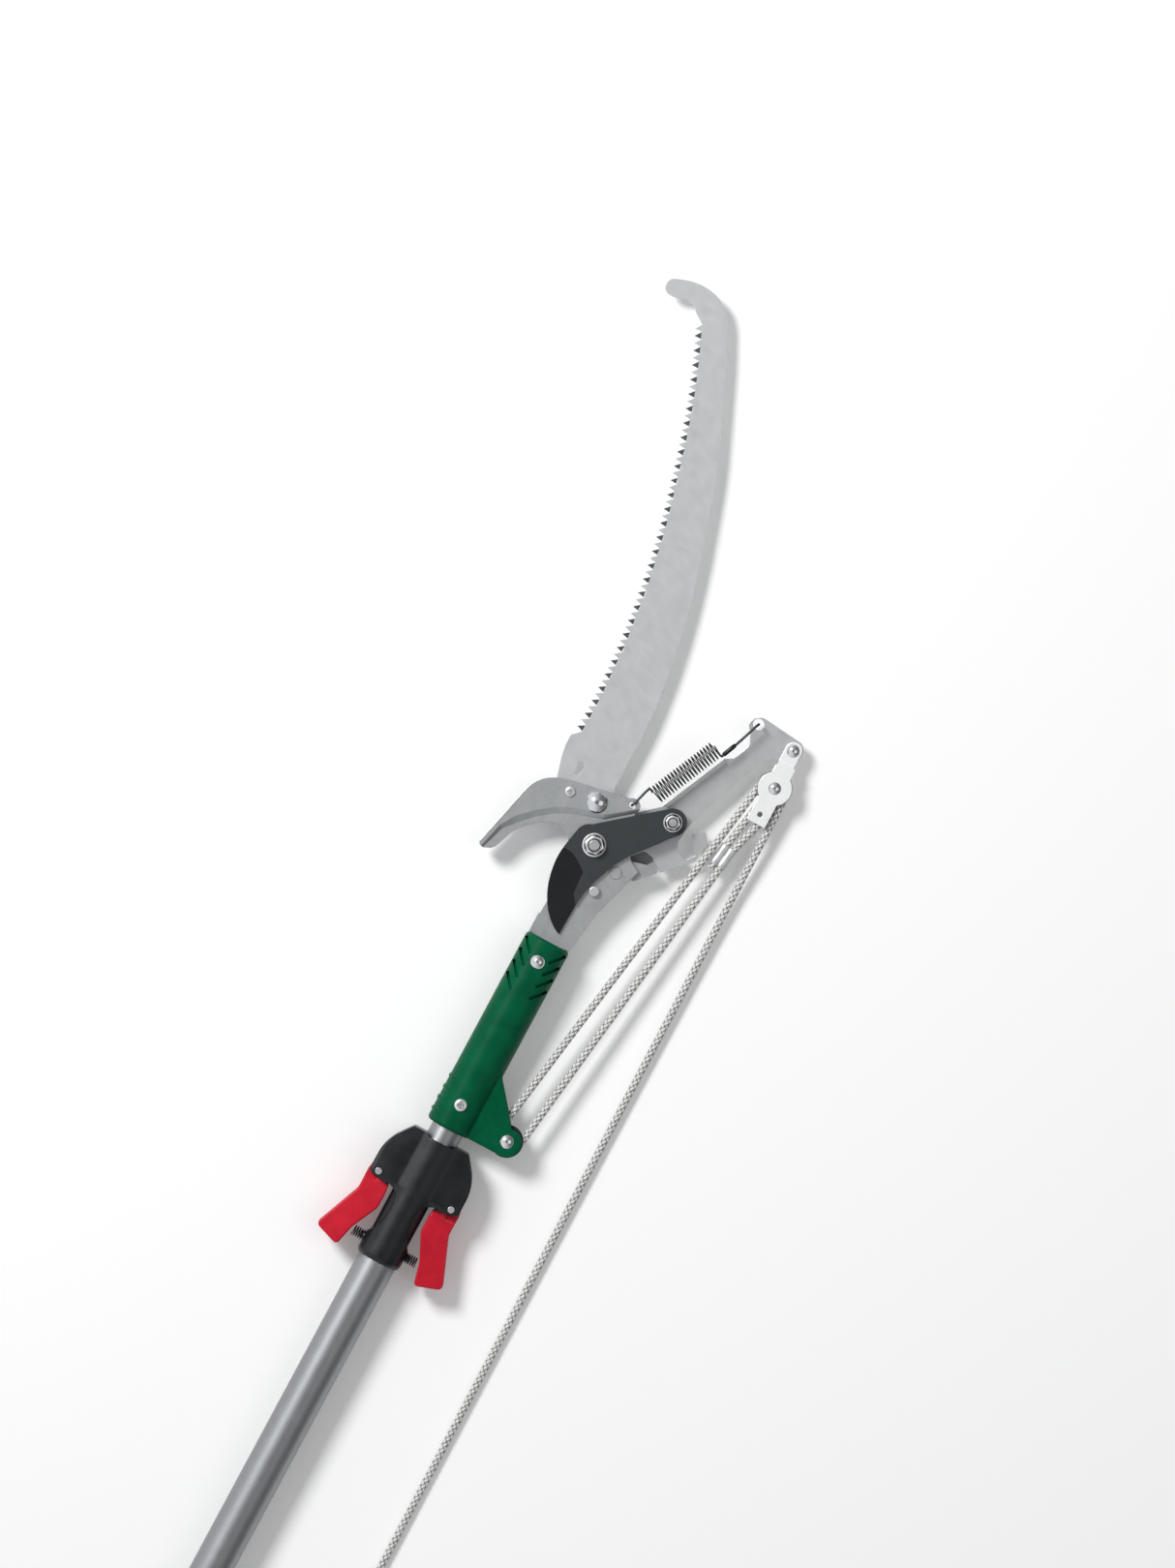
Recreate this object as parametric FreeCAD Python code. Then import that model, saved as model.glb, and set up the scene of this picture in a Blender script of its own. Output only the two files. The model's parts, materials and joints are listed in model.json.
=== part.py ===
"""Telescoping pole saw with a rope-pulled bypass cutter, lying flat.

The pole runs along +X with its butt at the origin.  +Z is up, out of the faces of
the blades.  Every length is in millimetres.
"""
import FreeCAD, Part
import math
import os

os.makedirs("parts", exist_ok=True)

Vector = FreeCAD.Vector
UP = Vector(0, 0, 1)
ALONG = Vector(1, 0, 0)

# ---------------------------------------------------------------- driving sizes
# Fits between pieces.
running_fit = 0.05          # radial gap of a shaft in its bore
seat_gap = 0.3              # gap between pieces that move past each other
bore_fit = 0.08             # radial gap of a fixed bore on its tube

# Pole.
outer_tube_d = 30.0
outer_tube_length = 1278.0
outer_tube_wall = 1.2
inner_tube_d = 25.0
inner_tube_wall = 1.2
inner_tube_start = 45.0     # lower end of the inner tube when pushed in
guide_bush_length = 30.0
cap_floor = 26.0            # solid end of the cap, behind the tube
cap_socket = 24.0           # length of tube inside the cap
cap_wall = 2.6
hang_hole_d = 8.0
hang_hole_in = 12.0
hang_lug_thick = 18.0
grip_gap = 2.0              # between the cap and the grip
grip_length = 190.0
grip_wall = 3.2
grip_rib_count = 12
grip_rib_width = 5.0
grip_rib_depth = 0.9

# Pole clamp with its two squeeze levers.
clamp_length = 103.5
clamp_tube_from_top = 31.5  # from the clamp's upper end to the end of the outer tube
clamp_wall = 2.5            # of the clamp's barrel, round the outer tube
clamp_barrel_d = outer_tube_d + 2 * clamp_wall
clamp_width = 75.0
clamp_crown = 1.5           # how far the ears' crown stands over the barrel
clamp_half_depth = clamp_barrel_d / 2 + clamp_crown
clamp_edge_depth = 10.5
clamp_ear_from_top = 48.5   # from the top of the clamp to the back of its ears
clamp_blend = 14.0          # length over which the ears' crown runs out on the barrel
clamp_bush_length = 22.0
pin_from_top = 42.0
pin_offset = 30.5
pin_d = 5.0
pin_head_d = 6.4
slot_height = 13.0
lever_height = 18.0
scoop_depth = 2.0
clamp_gap = 9.5             # bare inner tube between the clamp and the handle
coil_d = 8.5
coil_wire_d = 1.1
coil_turns = 4

# Moulded handle with its sheave bracket.
handle_length = 158.0
handle_d = 35.4
handle_corner = 3.0
vent_count = 4
vent_pitch = 10.0
vent_length = 8.0
vent_width = 2.4
vent_depth = 2.2
grip_bump_count = 4
grip_bump_pitch = 9.0
bracket_reach = 43.0        # from the pole's axis to the bracket sheave
bracket_in = 12.3           # from the handle's lower end to the bracket sheave
bracket_ear_r = 11.5
bracket_half = 8.6          # half the thickness over both ears
bracket_slot = 9.0
handle_bolt_in = 17.0       # upper bolt, from the handle's upper end
handle_screw_in = 20.5      # lower screw, from the handle's lower end
handle_bolt_d = 6.0
handle_bolt_head_d = 11.0
handle_screw_d = 5.0
handle_screw_head_d = 9.6

# Head casting.
casting_top = 3.0
casting_thick = 8.0
land_rise = 2.2             # the casting's raised face over its hooked edge
neck_thick = 15.0
neck_width = 34.0
spigot_length = 34.0
spigot_d = 27.0
pivot_ahead = 79.2          # from the handle's upper end to the blade's pivot
pivot_side = 4.0            # from the pole's axis to the blade's pivot
boss_r = 13.0
pivot_bolt_d = 8.0
flange_nut_d = 17.9
flange_nut_hex = 13.0
tail_bolt_d = 6.0
tail_nut_d = 14.2
tail_nut_hex = 10.0
stud_d = 7.7
blade_thick = 3.2
blade_grind = 1.1           # depth ground away along the cutting edge
blade_tail_r = 10.6
lever_thick = 2.6
lever_fold = 3.8            # height of the lever's folded edge
lever_fold_width = 3.0
saw_thick = 1.3
tooth_count = 58
tooth_depth = 5.2
tooth_set = 0.22            # each tooth leans this far out of the blade
saw_slot_length = 10.5
saw_slot_width = 5.5

# Return spring.
spring_d = 15.0
spring_wire_d = 1.6
spring_turns = 24

# Rope and its sheaves.
rope_d = 6.0
bracket_sheave_r = 9.3      # to the rope's centre
block_sheave_r = 10.2
sheave_width = 8.0
axle_d = 6.0
block_plate_thick = 1.8
block_width = 15.0
block_bulge_r = 12.8
becket_r = 2.0
ferrule_wall = 1.5
strand_gap = 5.8            # between the two strands in the ferrule
end_trim = 0.3              # left between two lengths of rope that meet at an angle
level_run = 24.0            # pull rope that leaves the block level, before it dips
hank_start = -566.0         # in the head's drawing, just past the visible rope
hank_grip = 10.0            # length of rope inside the hank at either end
hank_length = 130.0
hank_width = 61.0           # an oval winding three turns wide and three high
hank_height = 19.0
hank_enter = 9.0            # from the hank's middle to the rope that enters it
hank_leave = 27.0           # and to the rope that leaves it
tie_width = 16.0
tie_thick = 1.5
tail_length = 46.0          # rope between the hank and the toggle
toggle_length = 70.0
toggle_d = 18.0

# Places in the head's drawing, with the blade and lever open.  The drawing's X runs
# along the pole and its Y across it.
PIVOT = (101.7, 4.0)
STUD = (71.3, -12.3)
TAIL = (143.9, -39.6)
SPRING_BODY = (141.0, -6.8)
SPRING_LEVER = (238.6, -61.4)
BLOCK_PIN = (233.4, -93.6)
BLOCK_AXLE = (202.2, -94.5)
BECKET = (180.0, -93.8)
SAW_BOLT = (130.5, 17.1)
SAW_SCREW = (128.2, 38.4)
SAW_SLOT = (141.5, 38.2)
COIL_START = (155.2, -18.3)
COIL_END = (207.7, -42.3)
FERRULE_START = (131.0, -83.7)
FERRULE_END = (148.0, -85.9)
ROPE_SIDE = -112.0          # Y of the pull rope where it lies straight

# ---------------------------------------------------------------- derived places
outer_tube_start = cap_floor
cap_length = cap_floor + cap_socket
grip_start = cap_length + grip_gap
outer_tube_end = outer_tube_start + outer_tube_length
clamp_hold = clamp_length - clamp_tube_from_top
clamp_start = outer_tube_end - clamp_hold
clamp_end = clamp_start + clamp_length
handle_start = clamp_end + clamp_gap
handle_end = handle_start + handle_length
pivot_x = handle_end + pivot_ahead
pivot_y = pivot_side
drawing_x = pivot_x - PIVOT[0]
drawing_y = pivot_y - PIVOT[1]
casting_bottom = casting_top - casting_thick
blade_bottom = casting_top + seat_gap
blade_top = blade_bottom + blade_thick
lever_top = casting_bottom - seat_gap
lever_bottom = lever_top - lever_thick
lever_mid = (lever_top + lever_bottom) / 2
saw_top = casting_bottom
saw_bottom = saw_top - saw_thick
floor_z = -clamp_half_depth
inner_tube_end = handle_end - handle_bolt_in - 25.0
sheave_x = handle_start + bracket_in
sheave_y = -bracket_reach
rope_low = floor_z + rope_d / 2
block_gap = sheave_width + 2 * seat_gap
strap_top = lever_mid + block_gap / 2
strap_bottom = lever_mid - block_gap / 2
spring_z = casting_top + land_rise + spring_wire_d / 2 + seat_gap


# ---------------------------------------------------------------- shape helpers
def at(x, y, z=0.0):
    """A point of the head's drawing."""
    return Vector(drawing_x + x, drawing_y + y, z)


def cylinder(radius, length, base, axis=UP):
    """A round bar from base along axis."""
    return Part.makeCylinder(radius, length, base, axis)


def tube(outer_r, inner_r, start, length, axis=ALONG, y=0.0, z=0.0):
    """A tube along X, from x = start."""
    base = Vector(start, y, z)
    return cylinder(outer_r, length, base, axis).cut(cylinder(inner_r, length, base, axis))


def rounded_wire(corners, z):
    """A closed flat wire through (x, y, radius) corners, each rounded by a tangent arc."""
    count = len(corners)
    entries = []
    for i, (x, y, radius) in enumerate(corners):
        here = Vector(x, y, z)
        before = Vector(corners[i - 1][0], corners[i - 1][1], z)
        after = Vector(corners[(i + 1) % count][0], corners[(i + 1) % count][1], z)
        to_before = (before - here).normalize()
        to_after = (after - here).normalize()
        half = to_before.getAngle(to_after) / 2
        if radius <= 0:
            entries.append((here, None, here))
            continue
        reach = radius / math.tan(half)
        bisector = (to_before + to_after).normalize()
        middle = here + bisector * (radius / math.sin(half) - radius)
        entries.append((here + to_before * reach, middle, here + to_after * reach))
    edges = []
    for i, (start, middle, end) in enumerate(entries):
        if middle is not None:
            edges.append(Part.Arc(start, middle, end).toShape())
        following = entries[(i + 1) % count][0]
        if (following - end).Length > 1e-6:
            edges.append(Part.LineSegment(end, following).toShape())
    return Part.Wire(edges)


def plate(corners, bottom, top):
    """A flat plate with rounded corners, between two heights."""
    face = Part.Face(rounded_wire(corners, bottom))
    return face.extrude(Vector(0, 0, top - bottom))


def head_plate(corners, bottom, top):
    """A plate whose corners are in the head's drawing."""
    moved = [(drawing_x + x, drawing_y + y, radius) for x, y, radius in corners]
    return plate(moved, bottom, top)


def curve(points):
    """A smooth edge through points of the head's drawing, at height zero."""
    spline = Part.BSplineCurve()
    spline.interpolate([at(x, y) for x, y in points])
    return spline.toShape()


def polyline(points):
    """Straight edges through points of the head's drawing, at height zero."""
    vectors = [at(x, y) for x, y in points]
    return [Part.LineSegment(a, b).toShape() for a, b in zip(vectors, vectors[1:])]


def curved_plate(edges, bottom, top):
    """A plate from a closed run of edges drawn at height zero."""
    face = Part.Face(Part.Wire(edges))
    face.translate(Vector(0, 0, bottom))
    return face.extrude(Vector(0, 0, top - bottom))


def hexagon(across_flats, bottom, height, x, y):
    """A hexagonal prism about a vertical axis."""
    radius = across_flats / math.sqrt(3)
    corners = []
    for i in range(6):
        angle = math.radians(60 * i + 10)
        corners.append((x + radius * math.cos(angle), y + radius * math.sin(angle), 0))
    return plate(corners, bottom, bottom + height)


def dome(radius, height, base, axis=UP):
    """A dome of a given base radius and height, flat side at base."""
    sphere_r = (radius ** 2 + height ** 2) / (2 * height)
    centre = base - axis * (sphere_r - height)
    ball = Part.makeSphere(sphere_r, centre)
    return ball.common(cylinder(radius, height, base, axis))


def flange_nut(flange_d, across_flats, bore_d, bottom, x, y):
    """A flanged lock nut standing on a face at the height bottom."""
    flange = cylinder(flange_d / 2, 1.6, Vector(x, y, bottom))
    cone = Part.makeCone(flange_d / 2, across_flats / 2, 1.6, Vector(x, y, bottom + 1.6))
    body = hexagon(across_flats, bottom + 1.6, 4.4, x, y)
    collar = cylinder(across_flats * 0.42, 2.0, Vector(x, y, bottom + 6.0))
    bore = cylinder(bore_d / 2 + bore_fit, 12.0, Vector(x, y, bottom - 1.0))
    return flange.fuse([cone, body, collar]).cut(bore)


def rope_tube(points, radii=None):
    """A round cord along straight runs joined by tangent arcs, with the radii it used."""
    count = len(points)
    turns = []
    for i in range(1, count - 1):
        back = points[i - 1] - points[i]
        on = points[i + 1] - points[i]
        shorter = min(back.Length, on.Length)
        back.normalize()
        on.normalize()
        half_turn = (math.pi - back.getAngle(on)) / 2
        radius = 0.45 * shorter / math.tan(half_turn)
        if radii and radii[i - 1]:
            radius = radii[i - 1]
        reach = radius * math.tan(half_turn)
        inward = (back + on).normalize()
        middle = points[i] + inward * (radius / math.cos(half_turn) - radius)
        turns.append((points[i] + back * reach, middle, points[i] + on * reach, radius))
    edges = []
    last = points[0]
    for start, middle, end, radius in turns:
        edges.append(Part.LineSegment(last, start).toShape())
        edges.append(Part.Arc(start, middle, end).toShape())
        last = end
    edges.append(Part.LineSegment(last, points[-1]).toShape())
    path = Part.Wire(edges)
    direction = (points[1] - points[0]).normalize()
    ring = Part.Wire(Part.makeCircle(rope_d / 2, points[0], direction))
    solid = path.makePipeShell([ring], True, False)
    return solid, path.Length, [turn[3] for turn in turns]


def save(name, shape):
    """Write one node."""
    if shape.ShapeType == "Compound" and len(shape.Solids) == 1:
        shape = shape.Solids[0]
    if not shape.isValid():
        print("not valid:", name)
    shape.exportStep("parts/" + name + ".step")
    print(name, len(shape.Solids), round(shape.Volume, 1))


# ---------------------------------------------------------------- pole
def outer_tube():
    """The lower, fixed tube of the pole."""
    bore_r = outer_tube_d / 2 - outer_tube_wall
    return tube(outer_tube_d / 2, bore_r, outer_tube_start, outer_tube_length)


def end_cap():
    """A rubber cap over the butt, with a hanging hole across it."""
    outer_r = outer_tube_d / 2 + cap_wall
    cap = cylinder(outer_r, cap_length, Vector(0, 0, 0), ALONG)
    socket = cylinder(outer_tube_d / 2 + bore_fit, cap_length, Vector(cap_floor, 0, 0), ALONG)
    cap = cap.cut(socket)
    flat_length = cap_floor - 2.0
    for z in (hang_lug_thick / 2, -hang_lug_thick / 2 - outer_r):
        flat = Part.makeBox(flat_length + 1, 3 * outer_r, outer_r, Vector(-1, -1.5 * outer_r, z))
        cap = cap.cut(flat)
    upright = [e for e in cap.Edges if abs(e.CenterOfMass.x) < 0.01 and abs(e.CenterOfMass.z) < 0.01]
    cap = cap.makeFillet(5.0, upright) if len(upright) == 2 else cap
    return cap.cut(cylinder(hang_hole_d / 2, 60, Vector(hang_hole_in, 0, -30)))


def pole_grip():
    """A ribbed rubber grip on the lower tube."""
    inner_r = outer_tube_d / 2 + bore_fit
    outer_r = outer_tube_d / 2 + grip_wall
    grip = cylinder(outer_r, grip_length, Vector(grip_start, 0, 0), ALONG)
    grip = grip.makeFillet(1.8, [e for e in grip.Edges if e.Closed])
    pitch = grip_length / (grip_rib_count + 1)
    for i in range(grip_rib_count):
        start = grip_start + pitch * (i + 1) - grip_rib_width / 2
        grip = grip.cut(tube(outer_r + 1, outer_r - grip_rib_depth, start, grip_rib_width))
    return grip.cut(cylinder(inner_r, grip_length, Vector(grip_start, 0, 0), ALONG))


def inner_tube():
    """The upper tube, which slides in the lower one and carries the head."""
    bore_r = inner_tube_d / 2 - inner_tube_wall
    length = inner_tube_end - inner_tube_start
    pipe = tube(inner_tube_d / 2, bore_r, inner_tube_start, length)
    return pipe.cut(vertical_hole(handle_start + handle_screw_in, handle_screw_d))


def inner_tube_bush():
    """A plastic guide on the lower end of the inner tube, sliding in the outer one."""
    outer_r = outer_tube_d / 2 - outer_tube_wall - running_fit
    inner_r = inner_tube_d / 2 + bore_fit
    return tube(outer_r, inner_r, inner_tube_start, guide_bush_length)


def vertical_hole(x, diameter, y=0.0):
    """A tool that drills right through the pole or handle."""
    return cylinder(diameter / 2 + bore_fit, 80, Vector(x, y, -40))


# ---------------------------------------------------------------- clamp
def from_top(distance):
    """An X on the clamp, counted back from its upper end."""
    return clamp_end - distance


def lens_section(x, half, edge, height):
    """A closed section across the clamp: two arcs joined by short upright sides."""
    top = [Vector(x, half, edge), Vector(x, 0, height), Vector(x, -half, edge)]
    low = [Vector(x, -half, -edge), Vector(x, 0, -height), Vector(x, half, -edge)]
    outline = [Part.Arc(*top), Part.LineSegment(top[2], low[0]), Part.Arc(*low),
               Part.LineSegment(low[2], top[0])]
    return Part.Wire([g.toShape() for g in outline])


def clamp_cheeks():
    """The flared ears that hold the levers' pins, domed front and back."""
    half = clamp_width / 2
    barrel = clamp_barrel_d / 2
    back = clamp_ear_from_top
    side = [(back + clamp_blend - 2, barrel - 0.2, 0), (back - 3.5, barrel + 1.4, 3), (back + 1, 31, 6),
            (back - 4, half, 5), (19, half - 0.2, 36), (-1, barrel + 4.5, 5), (-1, 12, 1), (3, 9, 1)]
    corners = [(from_top(d), y, r) for d, y, r in side]
    corners += [(from_top(d), -y, r) for d, y, r in reversed(side)]
    cheeks = plate(corners, -clamp_half_depth, clamp_half_depth)
    whole = lens_section(clamp_end, half + 1, clamp_edge_depth, clamp_half_depth)
    back_line = from_top(clamp_ear_from_top - 4.5)
    start = lens_section(back_line, half + 1, clamp_edge_depth, clamp_half_depth)
    end = lens_section(from_top(clamp_ear_from_top + clamp_blend), barrel, 0.5, barrel)
    lens = Part.Face(whole).extrude(Vector(back_line - clamp_end, 0, 0))
    lens = lens.fuse(Part.makeLoft([start, end], True, True))
    room_height = lever_height + 2 * seat_gap
    room = Part.makeBox(clamp_blend + 12, clamp_width + 4, room_height,
                        Vector(from_top(back + clamp_blend + 8.5), -half - 2, -room_height / 2))
    return cheeks.common(lens).cut(room)


def clamp_body():
    """The moulded clamp: a barrel on the outer tube, two ears and a raised rim."""
    barrel_r = clamp_barrel_d / 2
    barrel = cylinder(barrel_r, clamp_length - 2, Vector(clamp_start, 0, 0), ALONG)
    end_rim = [e for e in barrel.Edges if e.Closed and abs(e.CenterOfMass.x - clamp_start) < 0.01]
    barrel = barrel.makeFillet(5.5 if barrel_r > 8 else 1, end_rim)
    body = barrel.fuse(clamp_cheeks()).removeSplitter()
    reach = clamp_width
    slot_in = barrel_r + 0.8
    for side in (1, -1):
        slot = Part.makeBox(46, reach, slot_height, Vector(from_top(70), 0, -slot_height / 2))
        slot.translate(Vector(0, slot_in if side > 0 else -slot_in - reach, 0))
        body = body.cut(slot)
        body = body.cut(cylinder(pin_d / 2 + bore_fit, 60,
                                 Vector(from_top(pin_from_top), side * pin_offset, -30)))
        scoop = tube(barrel_r + 1, barrel_r - scoop_depth, from_top(90), 60)
        bite = cylinder(36, 60, Vector(from_top(63), side * (barrel_r + 27.5), -30))
        body = body.cut(scoop.common(bite))
        stud_base = Vector(from_top(90), side * (outer_tube_d / 2 + 1), 0)
        stud_reach = barrel_r + 3.5 - outer_tube_d / 2 - 1
        stud = cylinder(coil_d / 2 - coil_wire_d - 0.4, stud_reach, stud_base, Vector(0, side, 0))
        body = body.fuse(stud)
    hold = cylinder(outer_tube_d / 2 + bore_fit, clamp_hold + seat_gap,
                    Vector(clamp_start, 0, 0), ALONG)
    bush_r = clamp_bush_outer() + bore_fit
    bush_room = cylinder(bush_r, clamp_length - 5, Vector(clamp_start, 0, 0), ALONG)
    mouth = cylinder(inner_tube_d / 2 + seat_gap, clamp_length + 5, Vector(clamp_start, 0, 0), ALONG)
    return body.cut(hold).cut(bush_room).cut(mouth)


def clamp_bush_outer():
    """Outer radius of the clamp's bush."""
    return outer_tube_d / 2 - outer_tube_wall / 2


def clamp_bush():
    """The split bush that the levers close on the inner tube."""
    start = from_top(5.0 + clamp_bush_length)
    bush = tube(clamp_bush_outer(), inner_tube_d / 2 + running_fit, start, clamp_bush_length)
    cut = Part.makeBox(clamp_bush_length + 2, 40, 2, Vector(start - 1, 0, -1))
    return bush.cut(cut)


def clamp_pins():
    """The two lever pins, one group of separate solids."""
    pins = []
    half = clamp_width / 2
    rise = clamp_half_depth - clamp_edge_depth
    lens_r = (half ** 2 + rise ** 2) / (2 * rise)
    drop = lens_r - math.sqrt(lens_r ** 2 - pin_offset ** 2)
    top = clamp_half_depth - drop + 0.6
    for side in (1, -1):
        base = Vector(from_top(pin_from_top), side * pin_offset, -top)
        pin = cylinder(pin_d / 2, 2 * top, base)
        pins.append(pin)
    return Part.makeCompound(pins)


def clamp_lever(side):
    """One squeeze lever; side is 1 for the left one and -1 for the right one."""
    outline = [(-63.5, 2.0, 3), (-56.5, 23.0, 4), (-18, 7.6, 14), (-2, 7.9, 4), (8, 6, 5),
               (8, -7, 5), (-7, -8, 3), (-9, -12.3, 4.5), (-25, -12.3, 9), (-46, -2.2, 15)]
    px = from_top(pin_from_top)
    if side < 0:
        outline = [(dx, -dy, r) for dx, dy, r in reversed(outline)]
    corners = [(px + dx, side * pin_offset + dy, r) for dx, dy, r in outline]
    blank = plate(corners, -lever_height / 2, lever_height / 2)
    faces = [-lever_height / 2, lever_height / 2]
    rims = [e for e in blank.Edges if any(abs(v - e.CenterOfMass.z) < 0.01 for v in faces)]
    blank = blank.makeFillet(1.6, rims)
    hub_edge = px - 8.6
    thin = slot_height - 2 * seat_gap
    for z in (-lever_height, thin / 2):
        blank = blank.cut(Part.makeBox(40, 80, lever_height, Vector(hub_edge, side * pin_offset - 40, z)))
    pin_hole = cylinder(pin_d / 2 + running_fit, 60, Vector(px, side * pin_offset, -30))
    return blank.cut(pin_hole)


def clamp_spring(side):
    """A short compression spring between the barrel and a lever."""
    start = clamp_barrel_d / 2 + seat_gap + coil_wire_d / 2
    end = pin_offset - 3.6 - coil_wire_d / 2
    pitch = (end - start) / coil_turns
    ring_r = (coil_d - coil_wire_d) / 2
    helix = Part.makeHelix(pitch, end - start, ring_r)
    section = Part.Wire(Part.makeCircle(coil_wire_d / 2, Vector(ring_r, 0, 0), Vector(0, 1, 0)))
    coil = Part.Wire(helix.Edges).makePipeShell([section], True, True)
    coil.rotate(Vector(0, 0, 0), ALONG, -90 * side)
    coil.translate(Vector(from_top(90), side * start, 0))
    return coil


# ---------------------------------------------------------------- handle and bracket
def handle_socket():
    """The moulded handle, with vents, grip bumps and the forked sheave bracket."""
    radius = handle_d / 2
    body = cylinder(radius, handle_length, Vector(handle_start, 0, 0), ALONG)
    body = body.makeFillet(handle_corner, [e for e in body.Edges if e.Closed])
    fin = [(-bracket_ear_r, 36, 0), (-bracket_ear_r, -bracket_ear_r, bracket_ear_r - 0.1),
           (bracket_ear_r - 1.8, -bracket_ear_r, bracket_ear_r - 2), (bracket_ear_r - 1.8, 1, 2),
           (20, 9, 2), (39, 24.5, 6), (46, 27.5, 0), (46, 36, 0)]
    corners = [(sheave_x + dx, sheave_y + dy, r) for dx, dy, r in fin]
    bracket = plate(corners, -bracket_half, bracket_half)
    faces = [-bracket_half, bracket_half]
    rims = [e for e in bracket.Edges if any(abs(v - e.CenterOfMass.z) < 0.01 for v in faces)]
    bracket = bracket.makeFillet(1.2, rims)
    body = body.fuse(bracket)
    for i in range(grip_bump_count):
        x = handle_start + 9 + i * grip_bump_pitch
        bump = Part.makeTorus(radius - 1.2, 2.1, Vector(x, 0, 0), ALONG)
        body = body.fuse(bump.common(Part.makeBox(10, 30, 24, Vector(x - 5, 7, -12))))
    skin = tube(radius + 1, radius - vent_depth, handle_start, handle_length)
    for i in range(vent_count):
        x = handle_end - 9 - i * vent_pitch
        for side in (1, -1):
            slot = Part.makeBox(vent_length * 1.7, vent_width, 40,
                                Vector(-vent_length * 0.85, -vent_width / 2, 0))
            slot.rotate(Vector(0, 0, 0), UP, side * 40)
            slot.translate(Vector(x, side * 12, 0))
            body = body.cut(skin.common(slot))
    slot_r = bracket_sheave_r + rope_d / 2 + 1.2
    fork = cylinder(slot_r, bracket_slot, Vector(sheave_x, sheave_y, -bracket_slot / 2))
    mouth = Part.makeBox(60, 2 * slot_r, bracket_slot,
                         Vector(sheave_x, sheave_y - slot_r, -bracket_slot / 2))
    body = body.cut(fork).cut(mouth)
    axle_hole = cylinder(axle_d / 2 + bore_fit, 60, Vector(sheave_x, sheave_y, -30))
    tube_bore = cylinder(inner_tube_d / 2 + bore_fit, inner_tube_end - handle_start,
                         Vector(handle_start, 0, 0), ALONG)
    spigot_bore = cylinder(spigot_d / 2 + bore_fit, spigot_length,
                           Vector(handle_end - spigot_length, 0, 0), ALONG)
    body = body.cut(axle_hole).cut(tube_bore).cut(spigot_bore)
    body = body.cut(vertical_hole(handle_end - handle_bolt_in, handle_bolt_d))
    body = body.cut(vertical_hole(handle_start + handle_screw_in, handle_screw_d))
    body = body.cut(bolt_seat(handle_end - handle_bolt_in, handle_bolt_head_d, *handle_seats(), 9.0))
    return body.cut(bolt_seat(handle_start + handle_screw_in, handle_screw_head_d,
                              *handle_seats(), 8.0))


def through_bolt(x, y, shank_d, head_d, low, high, head_rise, nut_across):
    """A dome-headed bolt along Z, with a plain hexagon nut against the far face."""
    shank = cylinder(shank_d / 2, high - low + 4, Vector(x, y, low - 4))
    head = dome(head_d / 2, head_rise, Vector(x, y, high))
    nut = hexagon(nut_across, low - 4, 4, x, y)
    return shank.fuse([head, nut])


def bolt_seat(x, head_d, low, high, nut_across):
    """A tool that sinks a bolt's head and nut into the handle."""
    head = cylinder(head_d / 2 + bore_fit, 10, Vector(x, 0, high))
    nut = cylinder(nut_across / math.sqrt(3) + seat_gap, 20, Vector(x, 0, low - 20))
    return head.fuse(nut)


def handle_seats():
    """Heights of the handle's nut seats and head seats."""
    return 3.4 - handle_d / 2, handle_d / 2 - 0.6


def handle_bolt():
    """The bolt that holds the casting's spigot in the handle."""
    return through_bolt(handle_end - handle_bolt_in, 0, handle_bolt_d, handle_bolt_head_d,
                        *handle_seats(), 3.0, 9.0)


def handle_screw():
    """The screw that holds the handle on the inner tube."""
    return through_bolt(handle_start + handle_screw_in, 0, handle_screw_d, handle_screw_head_d,
                        *handle_seats(), 2.2, 8.0)


def sheave(radius, bore_d, x, y, z):
    """A grooved wheel for the rope; radius is to the rope's centre."""
    rim = radius + rope_d / 2
    half = sheave_width / 2
    wheel = cylinder(rim, sheave_width, Vector(x, y, z - half))
    groove_r = rope_d / 2 + 0.2
    wheel = wheel.cut(Part.makeTorus(radius, groove_r, Vector(x, y, z), UP))
    ring = cylinder(rim + 1, 2 * groove_r, Vector(x, y, z - groove_r))
    wheel = wheel.cut(ring.cut(cylinder(radius, 2 * groove_r, Vector(x, y, z - groove_r))))
    return wheel.cut(cylinder(bore_d / 2 + running_fit, sheave_width, Vector(x, y, z - half)))


def bracket_sheave():
    """The wheel in the handle's bracket."""
    return sheave(bracket_sheave_r, axle_d, sheave_x, sheave_y, 0)


def bracket_axle():
    """The domed rivet that the bracket's wheel turns on."""
    reach = 2 * bracket_half
    shank = cylinder(axle_d / 2, reach, Vector(sheave_x, sheave_y, -bracket_half))
    front = dome(5.5, 2.6, Vector(sheave_x, sheave_y, bracket_half))
    back = dome(5.0, 1.6, Vector(sheave_x, sheave_y, -bracket_half), Vector(0, 0, -1))
    return shank.fuse([front, back])


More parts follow.
